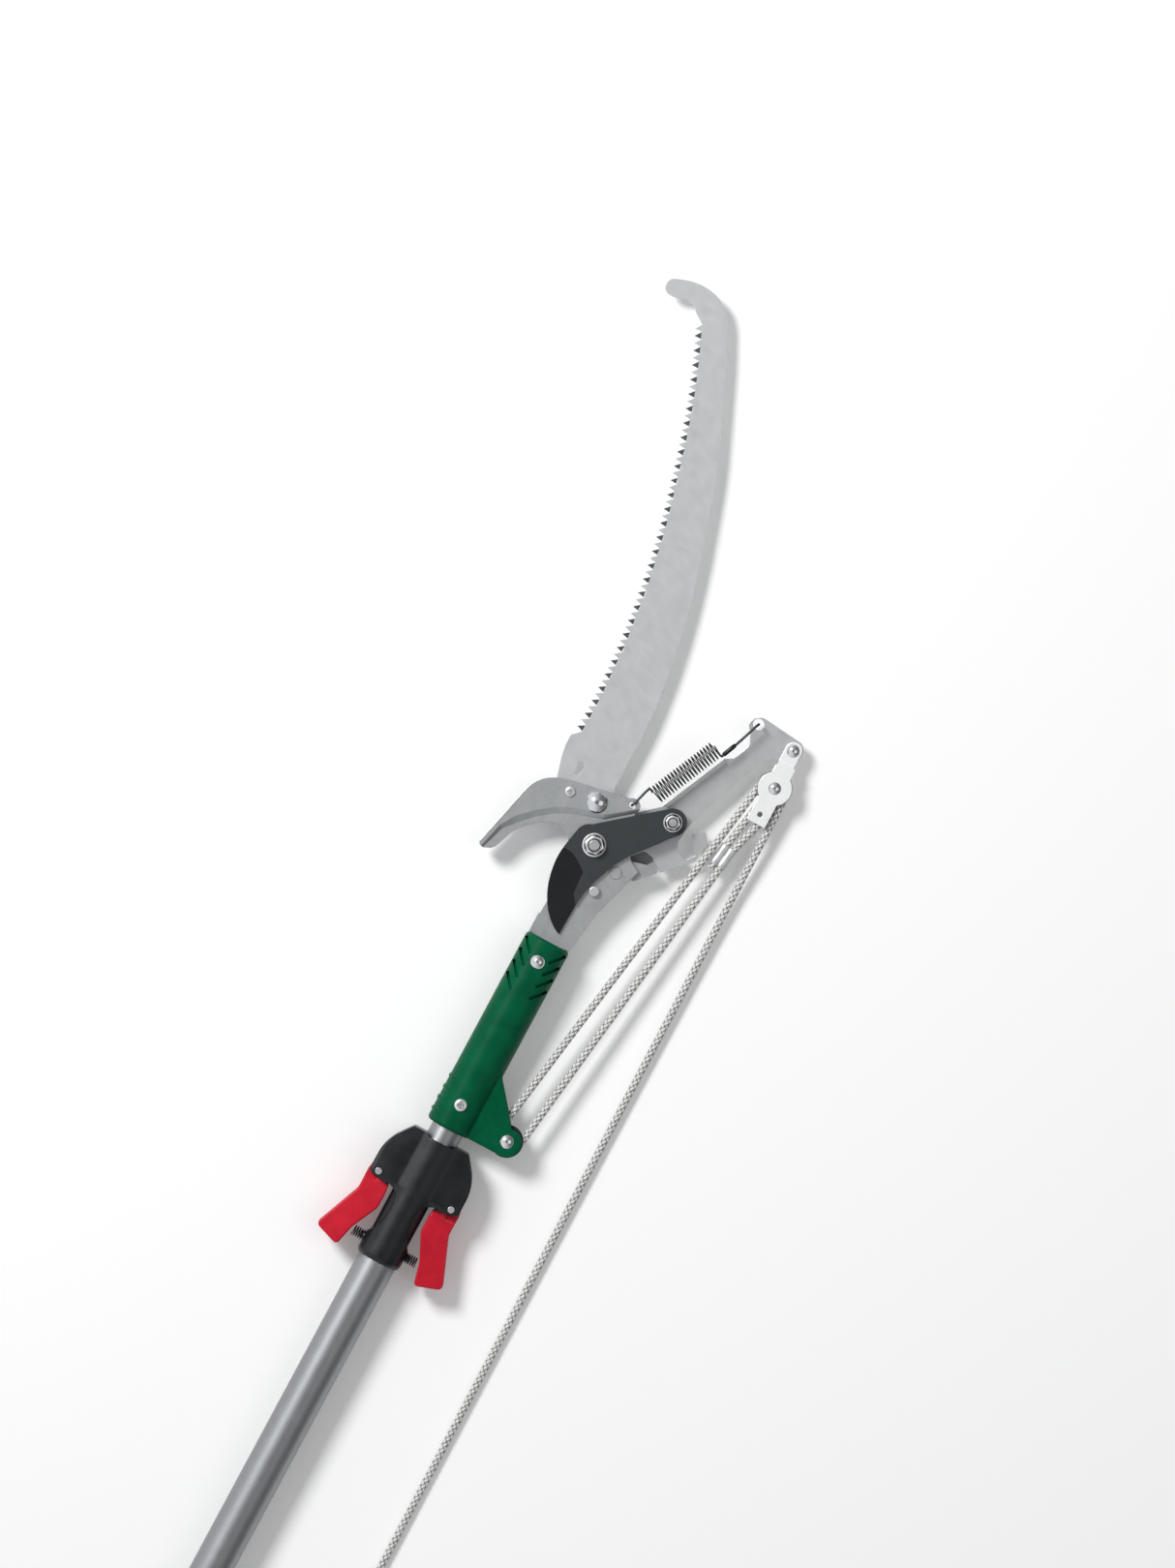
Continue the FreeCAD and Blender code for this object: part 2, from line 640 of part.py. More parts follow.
# ---------------------------------------------------------------- head casting
def casting_outline():
    """The casting's closed outline: neck, mouth, beak, back and spring lobe."""
    neck_x = handle_end - drawing_x
    half = neck_width / 2
    mouth = [(50, 15.5), (75, 16), (91, 20), (99.5, 26.5), (102.8, 34), (100.5, 42.5),
             (95, 50.5), (87.5, 58), (80, 63), (70, 66.6), (64.5, 69.6), (62, 74)]
    back = [(64.5, 80.7), (90, 74.9), (105, 70.9), (117, 67.9), (124.5, 63.6),
            (130.5, 56.5), (134.4, 48)]
    side = [(134.4, 48), (137.3, 36), (140, 22), (142.6, 8), (144.8, -3)]
    lobe_middle = at(SPRING_BODY[0] + 2.6, SPRING_BODY[1] - 5.6)
    lobe_end = (SPRING_BODY[0] - 5.0, SPRING_BODY[1] - 4.6)
    belly = [lobe_end, (126, 1), (116, -9), (106, -22), (99.5, -34.5), (88, -31)]
    under = [(88, -31), (75, -27.4), (60, -22.8), (45, -19.8), (neck_x, -half)]
    edges = [Part.LineSegment(at(neck_x, half), at(*mouth[0])).toShape(), curve(mouth)]
    edges.append(Part.Arc(at(*mouth[-1]), at(61.6, 78.6), at(*back[0])).toShape())
    edges += [curve(back), curve(side)]
    edges.append(Part.Arc(at(*side[-1]), lobe_middle, at(*lobe_end)).toShape())
    edges += polyline(belly)
    edges.append(curve(under))
    edges.append(Part.LineSegment(at(neck_x, -half), at(neck_x, half)).toShape())
    return edges


def land_block():
    """A block over the raised part of the casting, with a sloping side by the mouth."""
    foot = [(56, 77.5), (68, 74), (80, 70.2), (89.8, 62), (99.8, 52.2), (108.3, 41.2),
            (114.6, 28.6), (118.4, 15.6), (121.8, 6.2), (127, 0), (140, -16)]
    crest = [(56, 79.5), (69, 76), (82, 72.8), (93.5, 65.4), (103.8, 55), (112.6, 43.4),
             (118.9, 30.2), (122.4, 17), (125.2, 8.4), (129.6, 2), (142, -14)]
    far = [(170, -16), (170, 95), (56, 95)]
    wires = []
    for points, z in ((foot, casting_top), (crest, casting_top + land_rise)):
        corners = [at(x, y, z) for x, y in points + far]
        wires.append(Part.makePolygon(corners + corners[:1]))
    slope = Part.makeLoft(wires, True, True)
    sunk = Part.Face(wires[0]).extrude(Vector(0, 0, -1))
    return slope.fuse(sunk)


def hook_body():
    """The cast head: spigot, neck, hooked counter-blade, saw seat and spring lobe."""
    body = curved_plate(casting_outline(), casting_bottom, casting_top)
    raised = curved_plate(casting_outline(), casting_top, casting_top + land_rise)
    body = body.fuse(raised.common(land_block()))
    shelf = [(90, -26, 0), (104, -26, 0), (108.5, -43, 1), (106, -48, 1.5), (92, -35, 1)]
    body = body.fuse(head_plate(shelf, casting_bottom, casting_bottom + 4))
    root_end = at(38, 0).x
    root = Part.makeBox(root_end - handle_end, neck_width, neck_thick - 2,
                        Vector(handle_end, -neck_width / 2, casting_top - neck_thick + 2))
    slope = [e for e in root.Edges if abs(e.CenterOfMass.x - root_end) < 0.01
             and e.CenterOfMass.z < casting_bottom - 1 and abs(e.CenterOfMass.y) < 1]
    root = root.makeChamfer(casting_bottom - (casting_top - neck_thick + 2) - 0.5, slope)
    spigot = cylinder(spigot_d / 2, spigot_length, Vector(handle_end - spigot_length, 0, 0), ALONG)
    body = body.fuse([root, spigot])
    mark = cylinder(4.6, 0.15, at(90.7, -20, casting_top))
    body = body.fuse(mark)
    drills = [(PIVOT, pivot_bolt_d), (STUD, stud_d - 2.7), (SAW_BOLT, pivot_bolt_d),
              (SAW_SCREW, tail_bolt_d - 1), (SPRING_BODY, 4.6)]
    for (x, y), diameter in drills:
        body = body.cut(cylinder(diameter / 2 + bore_fit, 40, at(x, y, -20)))
    return body.cut(vertical_hole(handle_end - handle_bolt_in, handle_bolt_d))


def stop_stud():
    """The round stud that the blade's edge rests on when open."""
    stud = cylinder(stud_d / 2, 4.2, at(*STUD, casting_top))
    stud = stud.makeFillet(0.9, [e for e in stud.Edges if abs(e.CenterOfMass.z - casting_top - 4.2) < 0.01])
    shank = cylinder((stud_d - 2.7) / 2, casting_thick, at(*STUD, casting_bottom))
    return stud.fuse(shank)


# ---------------------------------------------------------------- saw
def tooth_line():
    """The curve through the tips of the saw's teeth."""
    spline = Part.BSplineCurve()
    tips = [(172, 57.2), (230, 58.4), (300, 67.2), (340, 75.5), (380, 86), (420, 98), (450, 109),
            (479, 121.5)]
    spline.interpolate([at(x, y) for x, y in tips])
    return spline


def tooth_roots():
    """Tip and root points along the toothed edge, from the heel to the toe."""
    line = tooth_line()
    places = line.discretize(Number=tooth_count + 1)
    roots = []
    for place in places:
        tangent = Vector(*line.tangent(line.parameter(place))[0]).normalize()
        inward = Vector(tangent.y, -tangent.x, 0)
        roots.append(place + inward * tooth_depth)
    tips = []
    for here, following in zip(places, places[1:]):
        tips.append(here + (following - here) * 0.36)
    return tips, roots


def saw_blade():
    """The curved pull saw: a thin blade, its teeth set left and right, and a hooked toe."""
    tips, roots = tooth_roots()
    heel_top = [(118, 50), (134, 52.6), (150, 57), (158, 58.2), (166, 58.2)]
    toe = [(486.5, 124.6), (490, 128.2), (491.8, 134), (490.8, 141)]
    knob = [(489.6, 151.2), (495.5, 154.6), (502, 149.5)]
    back = [(502, 149.5), (505.6, 139), (506.8, 128), (504.5, 116), (498.5, 106.5), (487, 98.5),
            (470, 89.8), (440, 76), (400, 59), (360, 44.8), (320, 32.6), (280, 22.6), (240, 15.2),
            (210, 11.6), (180, 10.2), (150, 10.6), (136, 9.6)]
    edges = [curve(heel_top)]
    first = Part.LineSegment(at(*heel_top[-1]), roots[0]).toShape()
    edges.append(first)
    edges += [Part.LineSegment(a, b).toShape() for a, b in zip(roots, roots[1:])]
    edges.append(Part.LineSegment(roots[-1], at(*toe[0])).toShape())
    edges.append(curve(toe))
    edges.append(Part.Arc(at(*toe[-1]), at(488.8, 146), at(*knob[0])).toShape())
    edges.append(Part.Arc(at(*knob[0]), at(*knob[1]), at(*knob[2])).toShape())
    edges.append(curve(back))
    edges += polyline([back[-1], (120, 8), (118, 50)])
    blade = curved_plate(edges, saw_bottom, saw_top)
    teeth = []
    for i, tip in enumerate(tips):
        offset = tooth_set if i % 2 else -tooth_set
        sunk = Vector(0, -0.4, 0)
        corners = [roots[i] + sunk, tip, roots[i + 1] + sunk, roots[i] + sunk]
        sides = [Part.LineSegment(a, b).toShape() for a, b in zip(corners, corners[1:])]
        tooth = Part.Face(Part.Wire(sides))
        tooth.translate(Vector(0, 0, saw_bottom + offset))
        teeth.append(tooth.extrude(Vector(0, 0, saw_thick)))
    blade = blade.fuse(teeth)
    corner = saw_slot_width / 2 - 0.05
    left, low = SAW_SLOT
    slot = [(left, low, corner), (left + saw_slot_length, low, corner),
            (left + saw_slot_length, low + saw_slot_width, corner), (left, low + saw_slot_width, corner)]
    blade = blade.cut(head_plate(slot, saw_bottom - 1, saw_top + 1))
    blade = blade.cut(cylinder(pivot_bolt_d / 2 + bore_fit, 20, at(*SAW_BOLT, -16)))
    return blade.cut(cylinder((tail_bolt_d - 1) / 2 + bore_fit, 20, at(*SAW_SCREW, -16)))


def saw_bolt():
    """The large domed bolt through the casting and the saw, with its nut behind."""
    return through_bolt(at(*SAW_BOLT).x, at(*SAW_BOLT).y, pivot_bolt_d, 16.5,
                        saw_bottom, casting_top + land_rise, 4.2, flange_nut_hex)


def saw_screw():
    """The small cross-head screw beside the saw bolt, with its nut behind."""
    return through_bolt(at(*SAW_SCREW).x, at(*SAW_SCREW).y, tail_bolt_d - 1, 8.0,
                        saw_bottom, casting_top + land_rise, 1.8, tail_nut_hex - 2)


# ---------------------------------------------------------------- cutter and lever
def blade_edges():
    """The cutter's outline: tip, curved cutting edge, shoulder and rounded tail."""
    tip = (30.8, -4.2)
    edge = [tip, (36.5, 5.2), (45.5, 13.2), (57, 19.4), (70, 23), (84, 24), (97, 22.2),
            (105, 20.6)]
    low = [(131.6, -42.6), (117, -31.2), (104.5, -21.4), (94, -15.6), (84, -11.4), (73, -7.6),
           (60, -5.4), (45, -4.6), tip]
    shoulder = Part.Arc(at(105, 20.6), at(110.6, 18.2), at(114.6, 12.6)).toShape()
    leave = math.radians(42)
    start = (TAIL[0] + blade_tail_r * math.cos(leave), TAIL[1] + blade_tail_r * math.sin(leave))
    far = at(TAIL[0] + blade_tail_r * math.cos(leave - math.pi / 2),
             TAIL[1] + blade_tail_r * math.sin(leave - math.pi / 2))
    end_angle = math.radians(-133)
    end = (TAIL[0] + blade_tail_r * math.cos(end_angle), TAIL[1] + blade_tail_r * math.sin(end_angle))
    edges = [curve(edge), shoulder]
    edges.append(Part.LineSegment(at(114.6, 12.6), at(*start)).toShape())
    edges.append(Part.Arc(at(*start), far, at(*end)).toShape())
    edges.append(Part.LineSegment(at(*end), at(*low[0])).toShape())
    edges.append(curve(low))
    return edges


def cutting_blade():
    """The coated bypass blade, ground away along its curved edge."""
    blade = curved_plate(blade_edges(), blade_bottom, blade_top)
    grind = [(26, -9), (50, -9), (63, 0.4), (80, 1.6), (85.5, 9), (89, 16), (90, 30), (26, 30)]
    face = curved_plate(polyline(grind + grind[:1]), blade_top - blade_grind, blade_top + 2)
    blade = blade.cut(face)
    blade = blade.cut(cylinder(pivot_bolt_d / 2 + running_fit, 40, at(*PIVOT, -20)))
    return blade.cut(cylinder(tail_bolt_d / 2 + bore_fit, 40, at(*TAIL, -20)))


def lever_arm():
    """The pressed-steel lever under the casting, with its folded edge and hooked tail."""
    px, py = PIVOT
    sx, sy = SPRING_LEVER
    rx, ry = BLOCK_PIN
    outline = [(px - 11, py + 9, 10), (px + 10, py + 13.5, 11), (150.5, -26.8, 0), (204, -51, 0.8),
               (207.6, -56.9, 1), (214, -59.9, 0), (222, -62.9, 7), (sx - 8, sy + 2.8, 5),
               (sx - 0.8, sy + 9.2, 5.5), (sx + 6.2, sy - 0.3, 6), (rx + 7.5, ry - 7.5, 7),
               (rx - 9, ry - 6.6, 5), (rx - 11, ry + 9, 12), (213, -75, 14), (150, -52, 20),
               (133, -50, 2), (125.8, -54, 3), (124, -61, 2), (130, -66.2, 1.5), (143.2, -56, 1.2),
               (149.8, -64.4, 2), (142.6, -70.2, 2), (126, -68.3, 1.5), (106.5, -48.8, 1.2),
               (113.5, -40.5, 1), (115.5, -31, 3), (px - 8, py - 17, 9)]
    outline = list(reversed(outline))
    lever = head_plate(outline, lever_bottom, lever_top)
    along = (at(204, -51) - at(150.5, -26.8)).normalize()
    across = Vector(along.y, -along.x, 0) * lever_fold_width
    start = at(150.5, -26.8, lever_top - 0.1) + along * 3
    end = at(204, -51, lever_top - 0.1) - along * 1.2
    ring = Part.makePolygon([start, end, end + across, start + across, start])
    flange = Part.Face(ring).extrude(Vector(0, 0, lever_fold + 0.1))
    lever = lever.fuse(flange).removeSplitter()
    for (x, y), diameter in ((PIVOT, pivot_bolt_d), (TAIL, tail_bolt_d),
                             (BLOCK_PIN, axle_d), (SPRING_LEVER, 8.4)):
        lever = lever.cut(cylinder(diameter / 2 + running_fit, 60, at(x, y, -30)))
    return lever


def tail_spacer():
    """The collar that fills the gap between cutter and lever at their tail bolt."""
    ring = cylinder(5.2, blade_bottom - lever_top, at(*TAIL, lever_top))
    return ring.cut(cylinder(tail_bolt_d / 2 + bore_fit, 40, at(*TAIL, -20)))


def hex_bolt(shank_d, across, place, low, high):
    """A hexagon bolt from below, its head on the height low."""
    x, y = at(*place).x, at(*place).y
    shank = cylinder(shank_d / 2, high - low, Vector(x, y, low))
    return shank.fuse(hexagon(across, low - 4.2, 4.2, x, y))


def pivot_bolt():
    """The bolt that the cutter and lever swing on."""
    return hex_bolt(pivot_bolt_d, flange_nut_hex, PIVOT, lever_bottom - seat_gap, blade_top + 8.5)


def pivot_nut():
    """The flanged lock nut over the cutter."""
    place = at(*PIVOT)
    return flange_nut(flange_nut_d, flange_nut_hex, pivot_bolt_d, blade_top + seat_gap,
                      place.x, place.y)


def tail_bolt():
    """The bolt that ties the cutter's tail to the lever."""
    return hex_bolt(tail_bolt_d, tail_nut_hex, TAIL, lever_bottom, blade_top + 7.6)


def tail_nut():
    """The flanged nut on the cutter's tail."""
    place = at(*TAIL)
    return flange_nut(tail_nut_d, tail_nut_hex, tail_bolt_d, blade_top, place.x, place.y)


# ---------------------------------------------------------------- return spring
def bent_wire(points):
    """A round wire along straight lengths, rounded where they meet."""
    wire_r = spring_wire_d / 2
    pieces = []
    for start, end in zip(points, points[1:]):
        pieces.append(cylinder(wire_r, (end - start).Length, start, (end - start).normalize()))
    pieces += [Part.makeSphere(wire_r, point) for point in points[1:-1]]
    return pieces[0].fuse(pieces[1:])


def coil_frame():
    """The coil's two end centres, its direction and its sideways direction."""
    start = at(*COIL_START, spring_z)
    end = at(*COIL_END, spring_z)
    along = (end - start).normalize()
    return start, end, along, Vector(-along.y, along.x, 0)


def return_spring():
    """The close-wound coil with the short hook in the casting's lobe."""
    start, end, along, across = coil_frame()
    length = (end - start).Length
    ring_r = (spring_d - spring_wire_d) / 2
    pitch = length / spring_turns
    bore_r = spring_d / 2 - spring_wire_d
    profile = [Vector(bore_r, 0, 0)]
    for i in range(spring_turns):
        profile.append(Vector(ring_r, 0, i * pitch))
        profile.append(Vector(spring_d / 2, 0, (i + 0.5) * pitch))
    profile.append(Vector(ring_r, 0, length))
    profile.append(Vector(bore_r, 0, length))
    profile.append(profile[0])
    sides = [Part.LineSegment(a, b).toShape() for a, b in zip(profile, profile[1:])]
    coil = Part.Face(Part.Wire(sides)).revolve(Vector(0, 0, 0), UP, 360)
    coil.Placement = FreeCAD.Placement(start, FreeCAD.Rotation(UP, along))
    hole = at(*SPRING_BODY, spring_z)
    low = at(*SPRING_BODY, casting_bottom - 1.5)
    return coil.fuse(bent_wire([low, hole, start + across * ring_r + along * spring_wire_d]))


def spring_hook():
    """The long hook that joins the coil's far end to the lever."""
    end, along, across = coil_frame()[1:]
    ring_r = (spring_d - spring_wire_d) / 2
    leave = end + along * (spring_wire_d / 2 + seat_gap)
    hole = at(*SPRING_LEVER, spring_z)
    low = at(*SPRING_LEVER, lever_bottom - 1.5)
    return bent_wire([leave, leave - across * ring_r, at(222, -55.5, spring_z), hole, low])


# ---------------------------------------------------------------- rope block
def block_strap(side):
    """One strap of the block, joggled in to the lever; side is 1 for the front one."""
    ax, ay = BLOCK_AXLE
    rx, ry = BLOCK_PIN
    half = block_width / 2
    joggle = (ax + rx) / 2 + 1.0
    face = strap_top if side > 0 else strap_bottom - block_plate_thick
    wide = head_plate([(172.5, ay + half + 0.3, 1.2), (172.5, ay - half + 0.3, 1.2),
                       (joggle, ay - half + 0.4, 0), (joggle, ay + half + 0.2, 0)],
                      face, face + block_plate_thick)
    bulge = cylinder(block_bulge_r, block_plate_thick, at(ax, ay, face))
    near = lever_top + seat_gap if side > 0 else lever_bottom - seat_gap - block_plate_thick
    end = head_plate([(joggle + 3, ry - half + 1.2, 0), (rx + 6.6, ry - half + 1.2, 5.8),
                      (rx + 6.6, ry + half - 1.2, 5.8), (joggle + 3, ry + half - 1.2, 0)],
                     near, near + block_plate_thick)
    bend = [Vector(joggle, 0, face), Vector(joggle + 3, 0, near),
            Vector(joggle + 3, 0, near + block_plate_thick), Vector(joggle, 0, face + block_plate_thick)]
    bend = [Vector(drawing_x + p.x, drawing_y + ay - half + 0.6, p.z) for p in bend]
    sides = [Part.LineSegment(a, b).toShape() for a, b in zip(bend, bend[1:] + bend[:1])]
    web = Part.Face(Part.Wire(sides)).extrude(Vector(0, block_width - 1.2, 0))
    strap = wide.fuse([bulge, web, end]).removeSplitter()
    strap = strap.cut(cylinder(axle_d / 2 + bore_fit, 60, at(ax, ay, -30)))
    strap = strap.cut(cylinder(axle_d / 2 + running_fit, 60, at(rx, ry, -30)))
    return strap.cut(cylinder(becket_r + bore_fit, 60, at(*BECKET, -30)))


def block_axle():
    """The rivet that the block's wheel turns on."""
    top = strap_top + block_plate_thick
    bottom = strap_bottom - block_plate_thick
    shank = cylinder(axle_d / 2, top - bottom, at(*BLOCK_AXLE, bottom))
    front = dome(4.9, 2.2, at(*BLOCK_AXLE, top))
    back = dome(4.6, 1.4, at(*BLOCK_AXLE, bottom), Vector(0, 0, -1))
    return shank.fuse([front, back])


def block_rivet():
    """The domed rivet that hangs the block on the lever."""
    top = lever_top + seat_gap + block_plate_thick
    bottom = lever_bottom - seat_gap - block_plate_thick
    shank = cylinder(axle_d / 2, top - bottom, at(*BLOCK_PIN, bottom))
    front = dome(5.1, 2.6, at(*BLOCK_PIN, top))
    back = dome(4.8, 1.4, at(*BLOCK_PIN, bottom), Vector(0, 0, -1))
    return shank.fuse([front, back])


def becket_pin():
    """The pin in the block's tail that the rope's end loops round."""
    top = strap_top + block_plate_thick
    bottom = strap_bottom - block_plate_thick
    return cylinder(becket_r, top - bottom, at(*BECKET, bottom))


def block_sheave():
    """The wheel in the block."""
    place = at(*BLOCK_AXLE)
    return sheave(block_sheave_r, axle_d, place.x, place.y, lever_mid)


# ---------------------------------------------------------------- ropes
def tangent_normal(centre, radius, far_centre, far_radius, side):
    """Unit normal of the line that touches two circles on one side of both."""
    gap = far_centre - centre
    flat = math.hypot(gap.x, gap.y)
    angle = math.atan2(gap.y, gap.x) + side * math.acos((radius - far_radius) / flat)
    return Vector(math.cos(angle), math.sin(angle), 0)


def straight_rope(start, end):
    """A straight round length of rope."""
    return cylinder(rope_d / 2, (end - start).Length, start, (end - start).normalize())


def wrapped_rope(centre, radius, start_normal, sweep):
    """Rope laid round a wheel, from a normal, through sweep degrees about +Z."""
    across = UP.cross(start_normal)
    ring = Part.Face(Part.Wire(Part.makeCircle(rope_d / 2, centre + start_normal * radius, across)))
    return ring.revolve(centre, UP, sweep)


def sheave_centres():
    """The centres of the bracket's wheel and of the block's wheel."""
    return Vector(sheave_x, sheave_y, 0), at(*BLOCK_AXLE, lever_mid)


def strand_ends():
    """The ends of the ferrule's two strands: outer start, outer end, inner start, inner end."""
    start = at(*FERRULE_START, lever_mid)
    end = at(*FERRULE_END, lever_mid)
    along = (end - start).normalize()
    across = Vector(-along.y, along.x, 0) * (strand_gap / 2)
    return start - across, end - across, start + across, end + across


def rope_run_a():
    """The run from the bracket's wheel to the block's wheel."""
    near, far = sheave_centres()
    normal = tangent_normal(near, bracket_sheave_r, far, block_sheave_r, 1)
    start = near + normal * bracket_sheave_r
    end = far + normal * block_sheave_r
    trim = (end - start).normalize() * end_trim
    return straight_rope(start + trim, end - trim)


def rope_run_b():
    """The run from the ferrule to the bracket's wheel, and round it."""
    near, far = sheave_centres()
    outer_start = strand_ends()[0]
    low = tangent_normal(near, bracket_sheave_r, outer_start, 0, -1)
    high = tangent_normal(near, bracket_sheave_r, far, block_sheave_r, 1)
    sweep = 360 - math.degrees(low.getAngle(high))
    wrap = wrapped_rope(near, bracket_sheave_r, high, sweep if sweep < 200 else 360 - sweep)
    start = near + low * bracket_sheave_r
    trim = (outer_start - start).normalize() * end_trim
    return straight_rope(start, outer_start - trim).fuse(wrap)


def rope_bend():
    """The half turn of rope round the block's wheel."""
    near, far = sheave_centres()
    high = tangent_normal(near, bracket_sheave_r, far, block_sheave_r, 1)
    low = pull_normal()
    sweep = math.degrees(low.getAngle(high))
    return wrapped_rope(far, block_sheave_r, low, sweep)


def pull_normal():
    """Where the free rope leaves the block's wheel, as a unit normal."""
    far = sheave_centres()[1]
    return tangent_normal(far, block_sheave_r, at(hank_start, ROPE_SIDE), 0, 1)


def rope_loop():
    """The rope's end, looped round the becket pin and back through the ferrule."""
    outer_end = strand_ends()[1]
    inner_end = strand_ends()[3]
    pin = at(*BECKET, lever_mid)
    loop_r = becket_r + rope_d / 2 + 0.05
    low = tangent_normal(pin, loop_r, outer_end, 0, 1)
    high = tangent_normal(pin, loop_r, inner_end, 0, -1)
    sweep = 360 - math.degrees(low.getAngle(high))
    wrap = wrapped_rope(pin, loop_r, low, sweep if sweep > 180 else 360 - sweep)
    limbs = []
    for start, end in ((outer_end, pin + low * loop_r), (inner_end, pin + high * loop_r)):
        limbs.append(straight_rope(start + (end - start).normalize() * 2 * end_trim, end))
    ball = [Part.makeSphere(rope_d / 2, pin + low * loop_r),
            Part.makeSphere(rope_d / 2, pin + high * loop_r)]
    return wrap.fuse(limbs + ball)


def rope_ferrule():
    """The pressed double sleeve over the rope's two strands."""
    outer_start, outer_end, inner_start, inner_end = strand_ends()
    along = (outer_end - outer_start).normalize()
    length = (outer_end - outer_start).Length
    radius = rope_d / 2 + ferrule_wall / 2
    barrels = [cylinder(radius, length, outer_start, along),
               cylinder(radius, length, inner_start, along)]
    return barrels[0].fuse(barrels[1]).removeSplitter()


def rope_pull():
    """The free pull rope, from the block down to the surface and along to its hank."""
    far = sheave_centres()[1]
    start = far + pull_normal() * block_sheave_r - ALONG * end_trim
    down = at(62, 0, rope_low)
    slope = (start.y - at(0, ROPE_SIDE).y) / (start.x - at(hank_start, 0).x)
    level = start - Vector(1, slope, 0) * level_run
    down.y = start.y - slope * (start.x - down.x)
    end = at(hank_start - hank_grip, ROPE_SIDE, rope_low)
    solid, length, radii = rope_tube([start, level, down, end])
    print("pull rope tube", round(length, 1), "radii", [round(r) for r in radii],
          "volume", round(solid.Volume / (math.pi * rope_d ** 2 / 4 * length), 4))
    return solid


def hank_middle():
    """Y of the hank's middle line."""
    return at(0, ROPE_SIDE).y - hank_enter


def rope_hank():
    """The rope that is put away, as one closed oval winding in line with the pole."""
    start = at(hank_start - hank_length, 0).x
    half = hank_width / 2
    y = hank_middle()
    corners = [(start, y - half, half - 0.5), (start + hank_length, y - half, half - 0.5),
               (start + hank_length, y + half, half - 0.5), (start, y + half, half - 0.5)]
    bottom = floor_z + tie_thick
    oval = plate(corners, bottom, bottom + hank_height)
    flat = [bottom, bottom + hank_height]
    return oval.makeFillet(rope_d / 2, [e for e in oval.Edges
                                        if any(abs(z - e.CenterOfMass.z) < 0.01 for z in flat)])


def tie_ring(grow, start, length):
    """A bar along X whose section is the hank's, a little larger all round."""
    half = hank_width / 2 + grow
    bottom = floor_z + tie_thick - grow
    top = floor_z + tie_thick + hank_height + grow
    bar = Part.makeBox(length, 2 * half, top - bottom, Vector(start, hank_middle() - half, bottom))
    return bar.makeFillet(rope_d / 2 + grow, [e for e in bar.Edges
                                              if abs(e.CenterOfMass.x - start - length / 2) < 0.01])


def rope_tie():
    """The band that holds the hank together."""
    start = at(hank_start - (hank_length + tie_width) / 2, 0).x
    inside = tie_ring(running_fit, start - 1, tie_width + 2)
    return tie_ring(tie_thick, start, tie_width).cut(inside)


def rope_tail():
    """The last of the rope, from the hank's top layer down to its pull toggle."""
    y = hank_middle() + hank_leave
    top = floor_z + tie_thick + hank_height - rope_d / 2 - 0.5
    start = at(hank_start - hank_length + hank_grip, 0, top)
    end = at(hank_start - hank_length - tail_length, 0, floor_z + toggle_d / 2)
    return straight_rope(Vector(start.x, y, start.z), Vector(end.x, y, end.z))


def pull_toggle():
    """The turned hand toggle on the rope's end."""
    end_x = at(hank_start - hank_length - tail_length, 0).x - end_trim
    y = hank_middle() + hank_leave
    z = floor_z + toggle_d / 2
    radius = toggle_d / 2
    profile = [Vector(0, 0, 0), Vector(radius * 0.62, 0, 0), Vector(radius, 0, radius * 0.9)]
    middle = Part.Arc(profile[2], Vector(radius * 0.8, 0, toggle_length / 2),
                      Vector(radius, 0, toggle_length - radius * 0.9)).toShape()
    last = [middle.Vertexes[-1].Point, Vector(radius * 0.62, 0, toggle_length),
            Vector(0, 0, toggle_length), Vector(0, 0, 0)]
    edges = [Part.LineSegment(a, b).toShape() for a, b in zip(profile, profile[1:])]
    edges.append(middle)
    edges += [Part.LineSegment(a, b).toShape() for a, b in zip(last, last[1:])]
    body = Part.Face(Part.Wire(edges)).revolve(Vector(0, 0, 0), UP, 360)
    body.Placement = FreeCAD.Placement(Vector(end_x, y, z), FreeCAD.Rotation(UP, Vector(-1, 0, 0)))
    return body


# ---------------------------------------------------------------- the whole saw
PIECES = {
    "outer_tube": outer_tube,
    "end_cap": end_cap,
    "pole_grip": pole_grip,
    "inner_tube": inner_tube,
    "inner_tube_bush": inner_tube_bush,
    "clamp_body": clamp_body,
    "clamp_bush": clamp_bush,
    "clamp_pins": clamp_pins,
    "handle_socket": handle_socket,
    "handle_bolt": handle_bolt,
    "handle_screw": handle_screw,
    "bracket_sheave": bracket_sheave,
    "bracket_axle": bracket_axle,
    "hook_body": hook_body,
    "stop_stud": stop_stud,
    "saw_blade": saw_blade,
    "saw_bolt": saw_bolt,
    "saw_screw": saw_screw,
    "cutting_blade": cutting_blade,
    "lever_arm": lever_arm,
    "tail_spacer": tail_spacer,
    "pivot_bolt": pivot_bolt,
    "pivot_nut": pivot_nut,
    "tail_bolt": tail_bolt,
    "tail_nut": tail_nut,
    "return_spring": return_spring,
    "spring_hook": spring_hook,
    "block_axle": block_axle,
    "block_rivet": block_rivet,
    "becket_pin": becket_pin,
    "block_sheave": block_sheave,
    "rope_run_a": rope_run_a,
    "rope_run_b": rope_run_b,
    "rope_bend": rope_bend,
    "rope_loop": rope_loop,
    "rope_ferrule": rope_ferrule,
    "rope_pull": rope_pull,
    "rope_hank": rope_hank,
    "rope_tie": rope_tie,
    "rope_tail": rope_tail,
    "pull_toggle": pull_toggle,
}

for node, make in PIECES.items():
    save(node, make())
for side, word in ((1, "left"), (-1, "right")):
    save("clamp_lever_" + word, clamp_lever(side))
    save("clamp_spring_" + word, clamp_spring(side))
for side, word in ((1, "front"), (-1, "back")):
    save("block_strap_" + word, block_strap(side))
